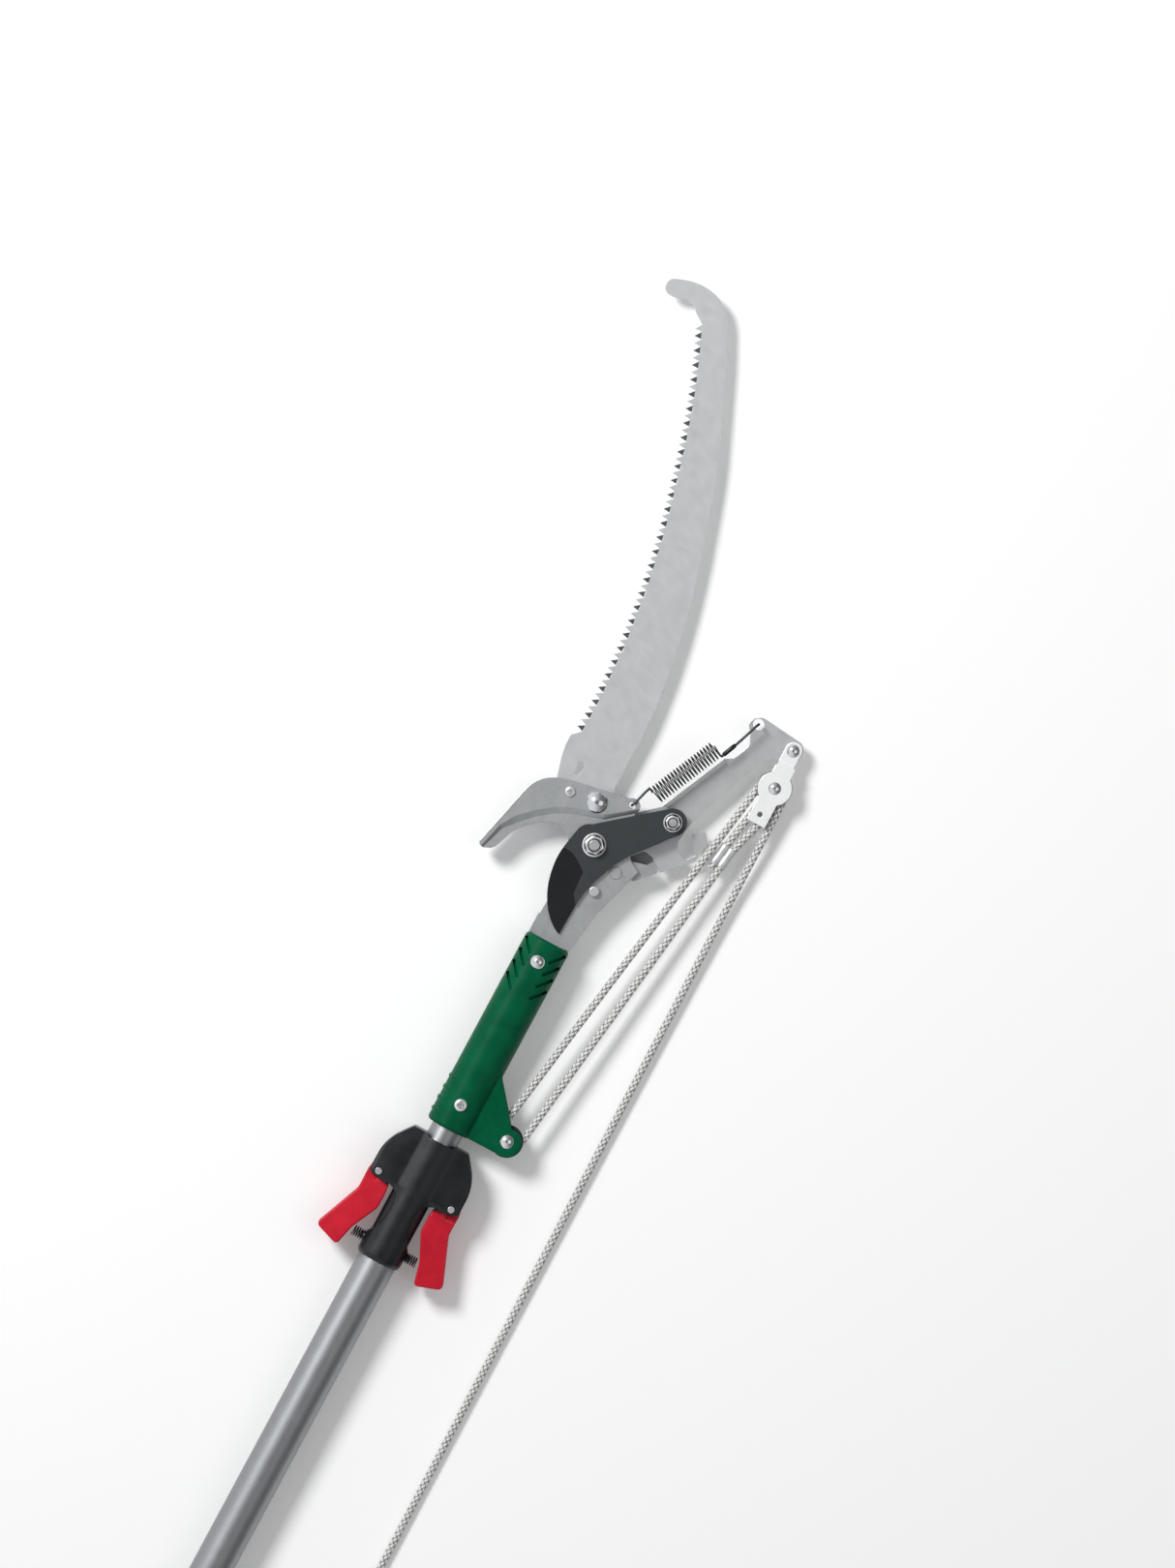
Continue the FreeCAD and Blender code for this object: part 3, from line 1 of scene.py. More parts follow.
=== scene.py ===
"""The looks of a telescoping pole saw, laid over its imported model.

Every length is in metres in the model's own frame: +X runs along the pole towards the
saw and +Z points up out of the blades.  Sizes said to be in millimetres, and all points
of the head's drawing, are scaled by ``MM``; the drawing's zero is found from the packed
pivot bolt.
"""

from __future__ import annotations

import json
import logging
import math
from collections.abc import Callable
from dataclasses import dataclass, field
from enum import Enum

import bmesh
import bpy
from mathutils import Matrix, Vector

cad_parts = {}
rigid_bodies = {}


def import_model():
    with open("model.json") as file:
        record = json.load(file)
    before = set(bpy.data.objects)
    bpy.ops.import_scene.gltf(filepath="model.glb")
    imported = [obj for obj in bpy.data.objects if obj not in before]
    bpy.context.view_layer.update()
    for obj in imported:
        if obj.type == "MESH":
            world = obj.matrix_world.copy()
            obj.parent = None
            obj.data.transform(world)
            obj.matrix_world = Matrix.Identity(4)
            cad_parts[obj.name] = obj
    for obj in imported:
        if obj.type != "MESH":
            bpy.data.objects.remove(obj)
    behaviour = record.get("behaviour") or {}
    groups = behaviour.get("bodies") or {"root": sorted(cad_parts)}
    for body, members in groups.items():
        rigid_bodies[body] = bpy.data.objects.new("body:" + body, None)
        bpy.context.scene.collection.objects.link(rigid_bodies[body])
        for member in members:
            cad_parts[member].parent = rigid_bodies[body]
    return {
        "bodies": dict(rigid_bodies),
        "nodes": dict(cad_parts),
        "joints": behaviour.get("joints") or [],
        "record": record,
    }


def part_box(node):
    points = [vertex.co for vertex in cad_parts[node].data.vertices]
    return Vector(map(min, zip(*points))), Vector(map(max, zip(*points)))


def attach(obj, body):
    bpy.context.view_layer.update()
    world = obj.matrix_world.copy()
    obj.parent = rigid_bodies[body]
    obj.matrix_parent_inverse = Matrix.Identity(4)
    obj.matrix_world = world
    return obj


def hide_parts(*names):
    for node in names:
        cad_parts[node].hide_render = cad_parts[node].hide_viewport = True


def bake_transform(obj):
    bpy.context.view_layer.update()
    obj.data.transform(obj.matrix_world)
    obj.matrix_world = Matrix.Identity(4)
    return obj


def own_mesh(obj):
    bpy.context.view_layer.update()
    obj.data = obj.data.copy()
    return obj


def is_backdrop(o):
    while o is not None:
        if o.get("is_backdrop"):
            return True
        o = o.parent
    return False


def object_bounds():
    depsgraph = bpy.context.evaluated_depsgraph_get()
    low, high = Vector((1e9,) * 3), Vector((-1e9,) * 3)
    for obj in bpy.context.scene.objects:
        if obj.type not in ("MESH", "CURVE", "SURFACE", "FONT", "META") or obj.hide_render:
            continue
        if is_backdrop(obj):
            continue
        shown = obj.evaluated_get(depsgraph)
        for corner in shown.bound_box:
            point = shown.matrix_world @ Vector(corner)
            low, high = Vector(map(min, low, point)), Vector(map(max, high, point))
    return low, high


LOG = logging.getLogger("pole_saw")
MM = 0.001
UP = Vector((0.0, 0.0, 1.0))
WELD = 0.002 * MM  # packed corners nearer than this are one
SHARP_DEG = 50.0  # packed edges sharper than this are eased


class Side(Enum):
    """The two sides of the pole, seen from above with the saw pointing away."""

    LEFT = 1
    RIGHT = -1


class Grain(Enum):
    """The ways a metal face was finished."""

    DRAWN = "drawn"
    GROUND = "ground"
    TUMBLED = "tumbled"
    PLATED = "plated"


def linear(colour: str) -> tuple[float, float, float, float]:
    """Turn an sRGB hex colour into a linear one.

    Args:
        colour: Six hex digits after a hash sign.

    Returns:
        Red, green, blue and an alpha of one.
    """
    parts = [int(colour[i : i + 2], 16) / 255 for i in (1, 3, 5)]
    red, green, blue = (
        c / 12.92 if c <= 0.04045 else ((c + 0.055) / 1.055) ** 2.4 for c in parts
    )
    return red, green, blue, 1.0


def heading(angle: float) -> Vector:
    """The level unit vector at an angle from +X, in radians."""
    return Vector((math.cos(angle), math.sin(angle), 0.0))


def lengths(points: list[Vector]) -> list[float]:
    """How far along a line of points each of them lies."""
    along = [0.0]
    for here, following in zip(points, points[1:]):
        along.append(along[-1] + (following - here).length)
    return along


def linked(name: str, data: bpy.types.ID) -> bpy.types.Object:
    """A new object in the scene, at the origin, that holds some data."""
    thing = bpy.data.objects.new(name, data)
    bpy.context.scene.collection.objects.link(thing)
    return thing


def add(
    tree: bpy.types.NodeTree,
    kind: str,
    links: dict[str | int, object] | None = None,
    **settings: object,
) -> bpy.types.Node:
    """Add one shader node to a tree, with its settings and links.

    Args:
        tree: The tree to add to.
        kind: The node's class name, without its first word.
        links: For each input its own value, or the socket or node linked to it.  A node
            gives its first output in use.
        settings: The node's properties.

    Returns:
        The new node.
    """
    node = tree.nodes.new("ShaderNode" + kind)
    for key, value in settings.items():
        setattr(node, key, value)
    for key, value in (links or {}).items():
        if isinstance(value, bpy.types.Node):
            value = next(socket for socket in value.outputs if socket.enabled)
        if isinstance(value, bpy.types.NodeSocket):
            tree.links.new(value, node.inputs[key])
        else:
            node.inputs[key].default_value = value
    return node


def new_tree(name: str) -> tuple[bpy.types.Material, bpy.types.NodeTree]:
    """Make an empty material.

    Args:
        name: The material's name.

    Returns:
        The material and its cleared node tree.
    """
    material = bpy.data.materials.new(name)
    material.use_nodes = True
    material.node_tree.nodes.clear()
    return material, material.node_tree


def set_stops(ramp: bpy.types.Node, stops: list[tuple[float, str]]) -> None:
    """Give a colour ramp its stops.

    Args:
        ramp: A ColorRamp node.
        stops: Positions and sRGB hex colours, in order.
    """
    for element, (place, colour) in zip(ramp.color_ramp.elements, stops, strict=True):
        element.position = place
        element.color = linear(colour)


def surfaced(
    tree: bpy.types.NodeTree,
    relief: bpy.types.Node,
    strength: float,
    reach_mm: float,
    looks: dict[str, object],
) -> None:
    """End a tree in a surface with fine relief.

    Args:
        tree: The tree.
        relief: The node that gives the relief's height.
        strength: How strongly it shows.
        reach_mm: How deep it is.
        looks: The shader's other inputs.
    """
    bump = add(tree, "Bump", {"Height": relief, "Strength": strength, "Distance": reach_mm * MM})
    shader = add(tree, "BsdfPrincipled", {"Normal": bump, **looks})
    add(tree, "OutputMaterial", {"Surface": shader})


# ------------------------------------------------------------------ finishes
@dataclass(frozen=True)
class MouldedPlastic:
    """Injection-moulded plastic with a fine spark-eroded grain.

    The grain gives broad soft highlights.  Corners that hands rub are a little lighter
    than the faces.
    """

    name: str
    colour: str
    deep: str
    worn: str
    roughness: float = 0.48
    grain_mm: float = 0.7
    grain_depth: float = 0.18
    gloss: float = 0.16

    def build(self) -> bpy.types.Material:
        """Make the material."""
        material, tree = new_tree(self.name)
        place = add(tree, "TexCoord").outputs["Object"]
        # Spark erosion leaves pits of about 0.1 mm, drawn coarser here so that they show.
        grain, cloud, rub = (
            add(tree, "TexNoise", {"Vector": place, "Scale": 1.0 / (size * MM),
                                   "Detail": detail, "Roughness": rough})
            for size, detail, rough in ((self.grain_mm, 3.0, 0.6), (14, 4.0, 0.5), (3, 5.0, 0.5))
        )
        tone = add(tree, "ValToRGB", {"Fac": cloud})
        set_stops(tone, [(0.38, self.deep), (0.64, self.colour)])
        edge = add(tree, "Attribute", attribute_name="wear").outputs["Fac"]
        broken = add(tree, "MapRange",
                     {"Value": rub, "From Min": 0.42, "From Max": 0.66, "To Max": 0.75})
        worn = add(tree, "Math", {0: edge, 1: broken}, operation="MULTIPLY")
        colour = add(tree, "Mix", {"Factor": worn, "A": tone, "B": linear(self.worn)},
                     data_type="RGBA")
        rough = add(tree, "MapRange", {"Value": cloud, "From Min": 0.3, "From Max": 0.7,
                                       "To Min": self.roughness - 0.05,
                                       "To Max": self.roughness + 0.07})
        surfaced(tree, grain, self.grain_depth, 0.1,
                 {"Base Color": colour, "Roughness": rough, "IOR": 1.49,
                  "Specular IOR Level": self.gloss})
        return material


@dataclass(frozen=True)
class Metal:
    """Bare or plated metal, with the lines or mottle that its making left.

    Drawn and ground metals show fine lines along one axis, a tumbled casting shows soft
    mottling and dents, and a plated part shows only a faint haze.
    """

    name: str
    colour: str
    deep: str
    grain: Grain
    roughness: float = 0.32
    line_mm: float = 0.6
    turn_deg: float = 0.0
    depth: float = 0.12
    metallic: float = 1.0

    def build(self) -> bpy.types.Material:
        """Make the material."""
        material, tree = new_tree(self.name)
        place = add(tree, "TexCoord").outputs["Object"]
        way = add(tree, "Mapping",
                  {"Vector": place, "Rotation": (0.0, 0.0, math.radians(self.turn_deg))})
        squeeze = 0.03 if self.grain in (Grain.DRAWN, Grain.GROUND) else 1.0
        drawn = add(tree, "Mapping", {"Vector": way, "Scale": (squeeze, 1.0, 1.0)})
        fine, cloud = (
            add(tree, "TexNoise", {"Vector": spot, "Scale": 1.0 / (size * MM),
                                   "Detail": detail, "Roughness": rough})
            for spot, size, detail, rough in ((drawn, self.line_mm, 4.0, 0.65),
                                              (place, 9, 5.0, 0.6))
        )
        both = add(tree, "Mix", {"Factor": 0.4, "A": fine, "B": cloud}, data_type="FLOAT")
        tone = add(tree, "ValToRGB", {"Fac": both})
        set_stops(tone, [(0.3, self.deep), (0.7, self.colour)])
        rough = add(tree, "MapRange", {"Value": both, "From Min": 0.3, "From Max": 0.7,
                                       "To Min": self.roughness - 0.04,
                                       "To Max": self.roughness + 0.05})
        surfaced(tree, fine, self.depth, 0.05,
                 {"Base Color": tone, "Metallic": self.metallic, "Roughness": rough})
        return material


@dataclass(frozen=True)
class Rubber:
    """Matt black rubber with patches of dust."""

    name: str
    colour: str
    dust: str
    roughness: float = 0.78

    def build(self) -> bpy.types.Material:
        """Make the material."""
        material, tree = new_tree(self.name)
        place = add(tree, "TexCoord").outputs["Object"]
        dusty, pores = (
            add(tree, "TexNoise", {"Vector": place, "Scale": 1.0 / (size * MM), "Detail": detail})
            for size, detail in ((6, 6.0), (0.8, 2.0))
        )
        tone = add(tree, "ValToRGB", {"Fac": dusty})
        set_stops(tone, [(0.42, self.colour), (0.78, self.dust)])
        surfaced(tree, pores, 0.25, 0.12,
                 {"Base Color": tone, "Roughness": self.roughness, "IOR": 1.52})
        return material


@dataclass(frozen=True)
class BraidedRope:
    """Diamond-braided polyester rope: pale strands that cross both ways.

    Each strand is pale on its crown, and painted shade darkens it towards grey where it
    dives under the next, and its fine filaments run along it.  The shape of the strands is
    in the rope itself.
    """

    name: str
    pale: str = "#E9E9E6"
    painted_gap_shade: str = "#474A49"
    strands: int = 4
    step_mm: float = 5.0
    relief: float = 0.3

    def build(self) -> bpy.types.Material:
        """Make the material."""
        material, tree = new_tree(self.name)
        chart = add(tree, "SeparateXYZ", {"Vector": add(tree, "UVMap")}).outputs
        along = add(tree, "Math", {0: chart["X"], 1: 1.0 / (self.step_mm * MM)},
                    operation="MULTIPLY")
        around = add(tree, "Math", {0: chart["Y"], 1: float(self.strands)}, operation="MULTIPLY")
        ways = [add(tree, "Math", {0: along, 1: around}, operation=way)
                for way in ("ADD", "SUBTRACT")]
        cells = [add(tree, "Math", {0: way}, operation="FLOOR") for way in ways]
        total = add(tree, "Math", {0: cells[0], 1: cells[1]}, operation="ADD")
        over = add(tree, "Math", {0: total, 1: 2.0}, operation="FLOORED_MODULO")
        shares = [add(tree, "Math", {0: way}, operation="FRACT") for way in ways]
        layers = []
        # Each strand has one crown, and six bundles of filaments across it.
        for turn in (math.pi, 12 * math.pi):
            phases = [add(tree, "Math", {0: share, 1: turn}, operation="MULTIPLY")
                      for share in shares]
            waves = [add(tree, "Math", {0: phase}, operation="SINE") for phase in phases]
            layers.append(add(tree, "Mix", {"Factor": over, "A": waves[0], "B": waves[1]},
                              data_type="FLOAT"))
        height, thread = layers
        cloud = add(tree, "TexNoise", {"Vector": add(tree, "TexCoord").outputs["Object"],
                                       "Scale": 1.0 / (5 * MM), "Detail": 3.0})
        lift = add(tree, "Math", {0: cloud, 1: 0.5, 2: -0.25}, operation="MULTIPLY_ADD")
        level = add(tree, "Math", {0: height, 1: lift}, operation="ADD")
        # The grey mixed into the gaps between strands is painted shade.
        tone = add(tree, "MapRange", {"Value": level, "From Min": 0.15, "From Max": 0.8})
        colour = add(tree, "Mix", {"Factor": tone, "A": linear(self.painted_gap_shade), "B": linear(self.pale)},
                     data_type="RGBA")
        fine = add(tree, "Math", {0: thread, 1: 0.12, 2: height}, operation="MULTIPLY_ADD")
        surfaced(tree, fine, 0.7, 0.4, {"Base Color": colour, "Roughness": 0.72,
                                        "Sheen Weight": 0.2, "Sheen Roughness": 0.5})
        return material


@dataclass(frozen=True)
class StudioPaper:
    """Seamless white paper, bright to the eye and to reflections but taking shadows."""

    name: str
    colour: str = "#F4F4F4"
    lift: float = 0.12

    def build(self) -> bpy.types.Material:
        """Make the material."""
        material, tree = new_tree(self.name)
        rays = add(tree, "LightPath").outputs
        seen = rays["Is Camera Ray"]
        for kind in ("Is Glossy Ray", "Is Transmission Ray"):
            seen = add(tree, "Math", {0: seen, 1: rays[kind]}, operation="MAXIMUM")
        strength = add(tree, "Math", {0: seen, 1: self.lift}, operation="MULTIPLY")
        glow = add(tree, "Emission", {"Strength": strength})
        paper = add(tree, "BsdfDiffuse", {"Color": linear(self.colour)})
        both = add(tree, "AddShader", {0: paper, 1: glow})
        add(tree, "OutputMaterial", {"Surface": both})
        return material


Finish = MouldedPlastic | Metal | Rubber | BraidedRope

GREEN_PLASTIC = MouldedPlastic("green moulded nylon", "#005A39", "#005033", "#14705A",
                               0.34, 0.7, 0.08, 0.07)
BLACK_PLASTIC = MouldedPlastic("black moulded nylon", "#14191C", "#101416", "#3C4245",
                               0.34, 0.7, 0.12, 0.36)
RED_PLASTIC = MouldedPlastic("red moulded ABS", "#CB142C", "#BD1028", "#E4505E",
                             0.3, 0.9, 0.06, 0.3)
ACETAL = MouldedPlastic("natural acetal", "#D9D8D2", "#CFCEC7", "#E6E5E0", 0.4)
POLE_TUBE = Metal("satin drawn aluminium tube", "#999B9D", "#919395", Grain.DRAWN, 0.4, 0.35)
CASTING = Metal("tumbled zinc casting", "#B2B4B5", "#A0A3A4", Grain.TUMBLED,
                0.42, 1.2, depth=0.5, metallic=0.8)
PRESSED = Metal("zinc-plated pressed steel", "#D0D2D2", "#C7C9C9", Grain.PLATED,
                0.34, 1.6, depth=0.05, metallic=0.65)
BRIGHT = Metal("bright zinc-plated steel", "#DEE0E1", "#D4D6D7", Grain.PLATED,
               0.24, 1.5, depth=0.04, metallic=0.72)
POLISHED = Metal("polished stainless strap", "#FAFAFA", "#F2F3F3", Grain.PLATED,
                 0.3, 1.5, depth=0.01, metallic=0.12)
CHROME = Metal("polished chrome plate", "#D3D5D7", "#C8CACC", Grain.PLATED,
               0.12, 1.5, depth=0.02)
SAW_STEEL = Metal("ground saw steel", "#E4E6E6", "#DEE0E0", Grain.GROUND,
                  0.32, 0.3, -74.0, 0.03, metallic=0.7)
COATED = Metal("low-friction coated steel", "#2F3537", "#282E30", Grain.TUMBLED,
               0.46, 0.8, depth=0.2, metallic=0.2)
GROUND_EDGE = Metal("ground and coated edge", "#0C1113", "#090D0F", Grain.GROUND,
                    0.34, 0.3, 60.0, 0.08, metallic=0.2)
# Painted shade on the lowered facet of every second tooth.
TOOTH_FACET_SHADE = Metal("filed tooth facet", "#6A6D6F", "#5E6163", Grain.GROUND,
                    0.3, 0.3, 20.0, 0.05, metallic=0.7)
# The stop's dark grey is painted shade for the gap between casting and lever.
STOP_IN_PAINTED_SHADE = Metal("unfinished zinc stop", "#7C8082", "#707476", Grain.TUMBLED,
                  0.5, 1.0, depth=0.3, metallic=0.5)
# This dark wire finish is also painted as shade in the nuts' grooves.
BLACK_WIRE_AND_GROOVE_SHADE = Metal("oiled black spring wire", "#34373A", "#26282B", Grain.PLATED,
                   0.25, 0.8, depth=0.05, metallic=0.9)
BLACK_RUBBER = Rubber("black rubber", "#1B1C1D", "#3A3B3B")
ROPE = BraidedRope("diamond-braided polyester rope")


# ------------------------------------------------------------------ workbench
@dataclass
class Workbench:
    """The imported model, with the tools that dress and mount pieces on it.

    Attributes:
        pivot_mm: Where the pivot bolt stands in the head's drawing.
        origin: The drawing's zero.
        made: The materials built so far, by name.
    """

    frame: dict
    pivot_mm: tuple[float, float] = (101.7, 4.0)
    origin: Vector = field(default_factory=Vector)
    made: dict[str, bpy.types.Material] = field(default_factory=dict)

    def __post_init__(self) -> None:
        """Find the drawing's zero from the pivot bolt."""
        centre = self.centre("pivot_bolt")
        self.origin = Vector((centre.x - self.pivot_mm[0] * MM,
                              centre.y - self.pivot_mm[1] * MM, 0.0))

    def drawn(self, x_mm: float, y_mm: float, z_mm: float = 0.0) -> Vector:
        """A point of the head's drawing, in the model's frame."""
        return self.origin + Vector((x_mm, y_mm, z_mm)) * MM

    def centre(self, node: str) -> Vector:
        """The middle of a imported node's box."""
        low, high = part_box(node)
        return (low + high) / 2

    def body(self, node: str) -> str:
        """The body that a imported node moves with."""
        groups = self.frame["record"]["behaviour"]["bodies"]
        return next(name for name, nodes in groups.items() if node in nodes)

    def slot(self, node: str) -> str:
        """The record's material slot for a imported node."""
        parts = self.frame["record"]["subparts"]
        return next(p["material_slot"] for p in parts if p["node"] == node)

    def material(self, finish: Finish) -> bpy.types.Material:
        """The material for a finish, built the first time it is asked for."""
        if finish.name not in self.made:
            self.made[finish.name] = finish.build()
        return self.made[finish.name]

    def mount(
        self, piece: bpy.types.Object, finish: Finish, node: str, replace: bool = True
    ) -> bpy.types.Object:
        """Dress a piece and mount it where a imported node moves.

        Args:
            piece: A finished object in the model's frame.
            finish: What it is made of.
            node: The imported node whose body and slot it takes.
            replace: Whether the piece stands for that node.

        Returns:
            The same piece.
        """
        if not piece.data.materials:
            piece.data.materials.append(self.material(finish))
        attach(piece, self.body(node))
        if replace:
            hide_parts(node)
        LOG.info("%s rides on %s", piece.name, self.body(node))
        return piece

    def eased(
        self,
        node: str,
        finish: Finish,
        ease_mm: float,
        name: str | None = None,
        facet_deg: float = 2.5,
        flat: bool = True,
        smooth_deg: float = 35.0,
        above_mm: float = 0.0,
    ) -> bpy.types.Object:
        """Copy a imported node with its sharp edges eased, and mount the copy in its place.

        Args:
            node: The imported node.
            finish: What it is made of.
            ease_mm: How wide the eased edges are.
            name: The piece's name, or None for the node's own with an ending.
            facet_deg: Facets that meet flatter than this become one.
            flat: Whether its broad faces are flat, and are kept so beside eased edges.
            smooth_deg: Edges sharper than this are shaded as creases.
            above_mm: Only edges this far above or below the pole's middle are eased.

        Returns:
            The mounted piece.
        """
        shape = welded(self.frame["nodes"][node].data)
        bmesh.ops.dissolve_limit(shape, angle_limit=math.radians(facet_deg),
                                 verts=shape.verts[:], edges=shape.edges[:])
        wear = shape.faces.layers.float.new("wear")
        sharp = [edge for edge in shape.edges
                 if edge.is_manifold and edge.calc_face_angle(0.0) > math.radians(SHARP_DEG)
                 and min(abs(v.co.z) for v in edge.verts) >= above_mm * MM]
        for face in bevelled(shape, sharp, ease_mm * MM, clamp_overlap=False,
                             loop_slide=True, miter_outer="SHARP"):
            face[wear] = 1.0
        piece = made_piece(name or node.replace("_", "-") + "-eased", shape, smooth_deg)
        if flat:
            weigh = piece.modifiers.new("flat faces", "WEIGHTED_NORMAL")
            weigh.keep_sharp = True
            weigh.weight = 60
        return self.mount(piece, finish, node)


# ------------------------------------------------------------------ shapes
def made_piece(name: str, shape: bmesh.types.BMesh, smooth_deg: float = 35.0) -> bpy.types.Object:
    """Turn a shape into an object in the scene, shaded smooth except at sharp edges.

    Args:
        name: The object's name.
        shape: The shape, which is freed.
        smooth_deg: Edges sharper than this stay sharp.

    Returns:
        The object, at the origin.
    """
    mesh = bpy.data.meshes.new(name)
    shape.to_mesh(mesh)
    shape.free()
    mesh.shade_smooth()
    mesh.set_sharp_from_angle(angle=math.radians(smooth_deg))
    return linked(name, mesh)


def welded(mesh: bpy.types.Mesh) -> bmesh.types.BMesh:
    """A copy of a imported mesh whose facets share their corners."""
    shape = bmesh.new()
    shape.from_mesh(mesh)
    bmesh.ops.remove_doubles(shape, verts=shape.verts[:], dist=WELD)
    return shape


def bevelled(
    shape: bmesh.types.BMesh,
    edges: list[bmesh.types.BMEdge],
    width: float,
    segments: int = 2,
    **more: object,
) -> list[bmesh.types.BMFace]:
    """Round some edges of a shape.

    Args:
        shape: The shape.
        edges: The edges.
        width: How wide they become, in metres.
        segments: How many facets each gets.
        more: The bevel's further settings.

    Returns:
        The new faces.
    """
    return bmesh.ops.bevel(shape, geom=edges, offset=width, offset_type="OFFSET",
                           segments=segments, profile=0.5, affect="EDGES", material=-1,
                           **more)["faces"]


def raised(shape: bmesh.types.BMesh, height: float) -> list[bmesh.types.BMVert]:
    """Raise a flat face into a prism.

    Args:
        shape: The shape, which holds only the face.
        height: How tall the prism is.

    Returns:
        The top's corners.
    """
    parts = bmesh.ops.extrude_face_region(shape, geom=shape.faces[:])["geom"]
    top = [part for part in parts if isinstance(part, bmesh.types.BMVert)]
    bmesh.ops.translate(shape, verts=top, vec=(0, 0, height))
    return top


def stood(
    shape: bmesh.types.BMesh, centre: Vector, axis: Vector = UP, turn_deg: float = 0.0
) -> bmesh.types.BMesh:
    """Finish a shape made about +Z, and stand it in its place.

    Args:
        shape: The shape.
        centre: Where its zero goes.
        axis: The way its +Z goes.
        turn_deg: How far it is first turned about +Z.

    Returns:
        The same shape.
    """
    bmesh.ops.recalc_face_normals(shape, faces=shape.faces[:])
    lean = UP.rotation_difference(axis.normalized()).to_matrix().to_4x4()
    turn = Matrix.Rotation(math.radians(turn_deg), 4, "Z")
    bmesh.ops.transform(shape, matrix=Matrix.Translation(centre) @ lean @ turn,
                        verts=shape.verts[:])
    return shape


def round_normals(piece: bpy.types.Object, radii: tuple[float, ...]) -> None:
    """Shade long barrels as true rounds about the pole's middle.

    Args:
        piece: The piece.
        radii: Each barrel's radius, in millimetres.
    """
    near_mm, upright = 0.06, 0.96  # a barrel's own faces are this near, and this upright
    mesh = piece.data
    normals = [corner.vector.copy() for corner in mesh.corner_normals]
    for face in mesh.polygons:
        for radius in radii:
            for k in face.loop_indices:
                spot = mesh.vertices[mesh.loops[k].vertex_index].co
                out = Vector((0.0, spot.y, spot.z))
                lean = face.normal.dot(out.normalized())
                if abs(out.length - radius * MM) < near_mm * MM and abs(lean) > upright:
                    normals[k] = out.normalized() * math.copysign(1.0, lean)
    mesh.normals_split_custom_set(normals)


def slab(corners: list[Vector], height: float, ease: float) -> bmesh.types.BMesh:
    """A flat plate with eased edges.

    Args:
        corners: Its lower face's corners, in order.
        height: How thick it is, in metres.
        ease: How wide its eased edges are, in metres.

    Returns:
        The closed shape.
    """
    shape = bmesh.new()
    shape.faces.new([shape.verts.new(corner) for corner in corners])
    raised(shape, height)
    bmesh.ops.recalc_face_normals(shape, faces=shape.faces[:])
    bevelled(shape, shape.edges[:], ease, 3)
    return shape


def dress_where(
    piece: bpy.types.Object,
    material: bpy.types.Material,
    chosen: Callable[[bpy.types.MeshPolygon], bool],
) -> None:
    """Give the faces that a test picks a material of their own.

    Args:
        piece: The piece.
        material: Their material.
        chosen: The test.
    """
    piece.data.materials.append(material)
    for face in piece.data.polygons:
        if chosen(face):
            face.material_index = len(piece.data.materials) - 1


def holds(outline: list[Vector], spot: Vector) -> bool:
    """Whether an outline holds a spot, both seen from above."""
    inside = False
    for here, following in zip(outline, outline[1:] + outline[:1]):
        if (here.y > spot.y) != (following.y > spot.y):
            share = (spot.y - here.y) / (following.y - here.y)
            if spot.x < here.x + share * (following.x - here.x):
                inside = not inside
    return inside


def remeshed(mesh: bpy.types.Mesh, grain: float) -> bmesh.types.BMesh:
    """Skin a closed mesh again with even faces, which softens its corners a little.

    Args:
        mesh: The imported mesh, which is left as it is.
        grain: How wide the new faces are, in metres.

    Returns:
        The new skin.
    """
    holder = made_piece("skin", welded(mesh))
    skin = holder.modifiers.new("skin", "REMESH")
    skin.mode = "VOXEL"
    skin.voxel_size = grain
    bpy.context.view_layer.update()
    graph = bpy.context.evaluated_depsgraph_get()
    fresh = bpy.data.meshes.new_from_object(holder.evaluated_get(graph))
    bpy.data.objects.remove(holder)
    shape = bmesh.new()
    shape.from_mesh(fresh)
    bpy.data.meshes.remove(fresh)
    for _ in range(2):
        bmesh.ops.smooth_vert(shape, verts=shape.verts[:], factor=0.5,
                              use_axis_x=True, use_axis_y=True, use_axis_z=True)
    return shape


def turned(
    profile: list[tuple[float, float]], centre: Vector, axis: Vector = UP, steps: int = 40
) -> bmesh.types.BMesh:
    """Spin a half-profile into a round shape, as on a lathe.

    Args:
        profile: Radius and height of each point, in millimetres, from end to end.
        centre: Where the axis starts.
        axis: The direction of increasing height.
        steps: Facets round the shape.

    Returns:
        The closed shape.
    """
    shape = bmesh.new()
    points = [shape.verts.new((radius * MM, 0.0, height * MM)) for radius, height in profile]
    edges = [shape.edges.new(pair) for pair in zip(points, points[1:])]
    bmesh.ops.spin(shape, geom=points + edges, cent=(0, 0, 0), axis=UP, dvec=(0, 0, 0),
                   angle=2 * math.pi, steps=steps, use_merge=True)
    bmesh.ops.remove_doubles(shape, verts=shape.verts[:], dist=0.001 * MM)
    return stood(shape, centre, axis)


def joined(*shapes: bmesh.types.BMesh) -> bmesh.types.BMesh:
    """Put several shapes into one.

    Args:
        shapes: The shapes, which are freed except the first.

    Returns:
        The first shape, holding them all.
    """
    first = shapes[0]
    for other in shapes[1:]:
        spare = bpy.data.meshes.new("spare")
        other.to_mesh(spare)
        other.free()
        first.from_mesh(spare)
        bpy.data.meshes.remove(spare)
    return first


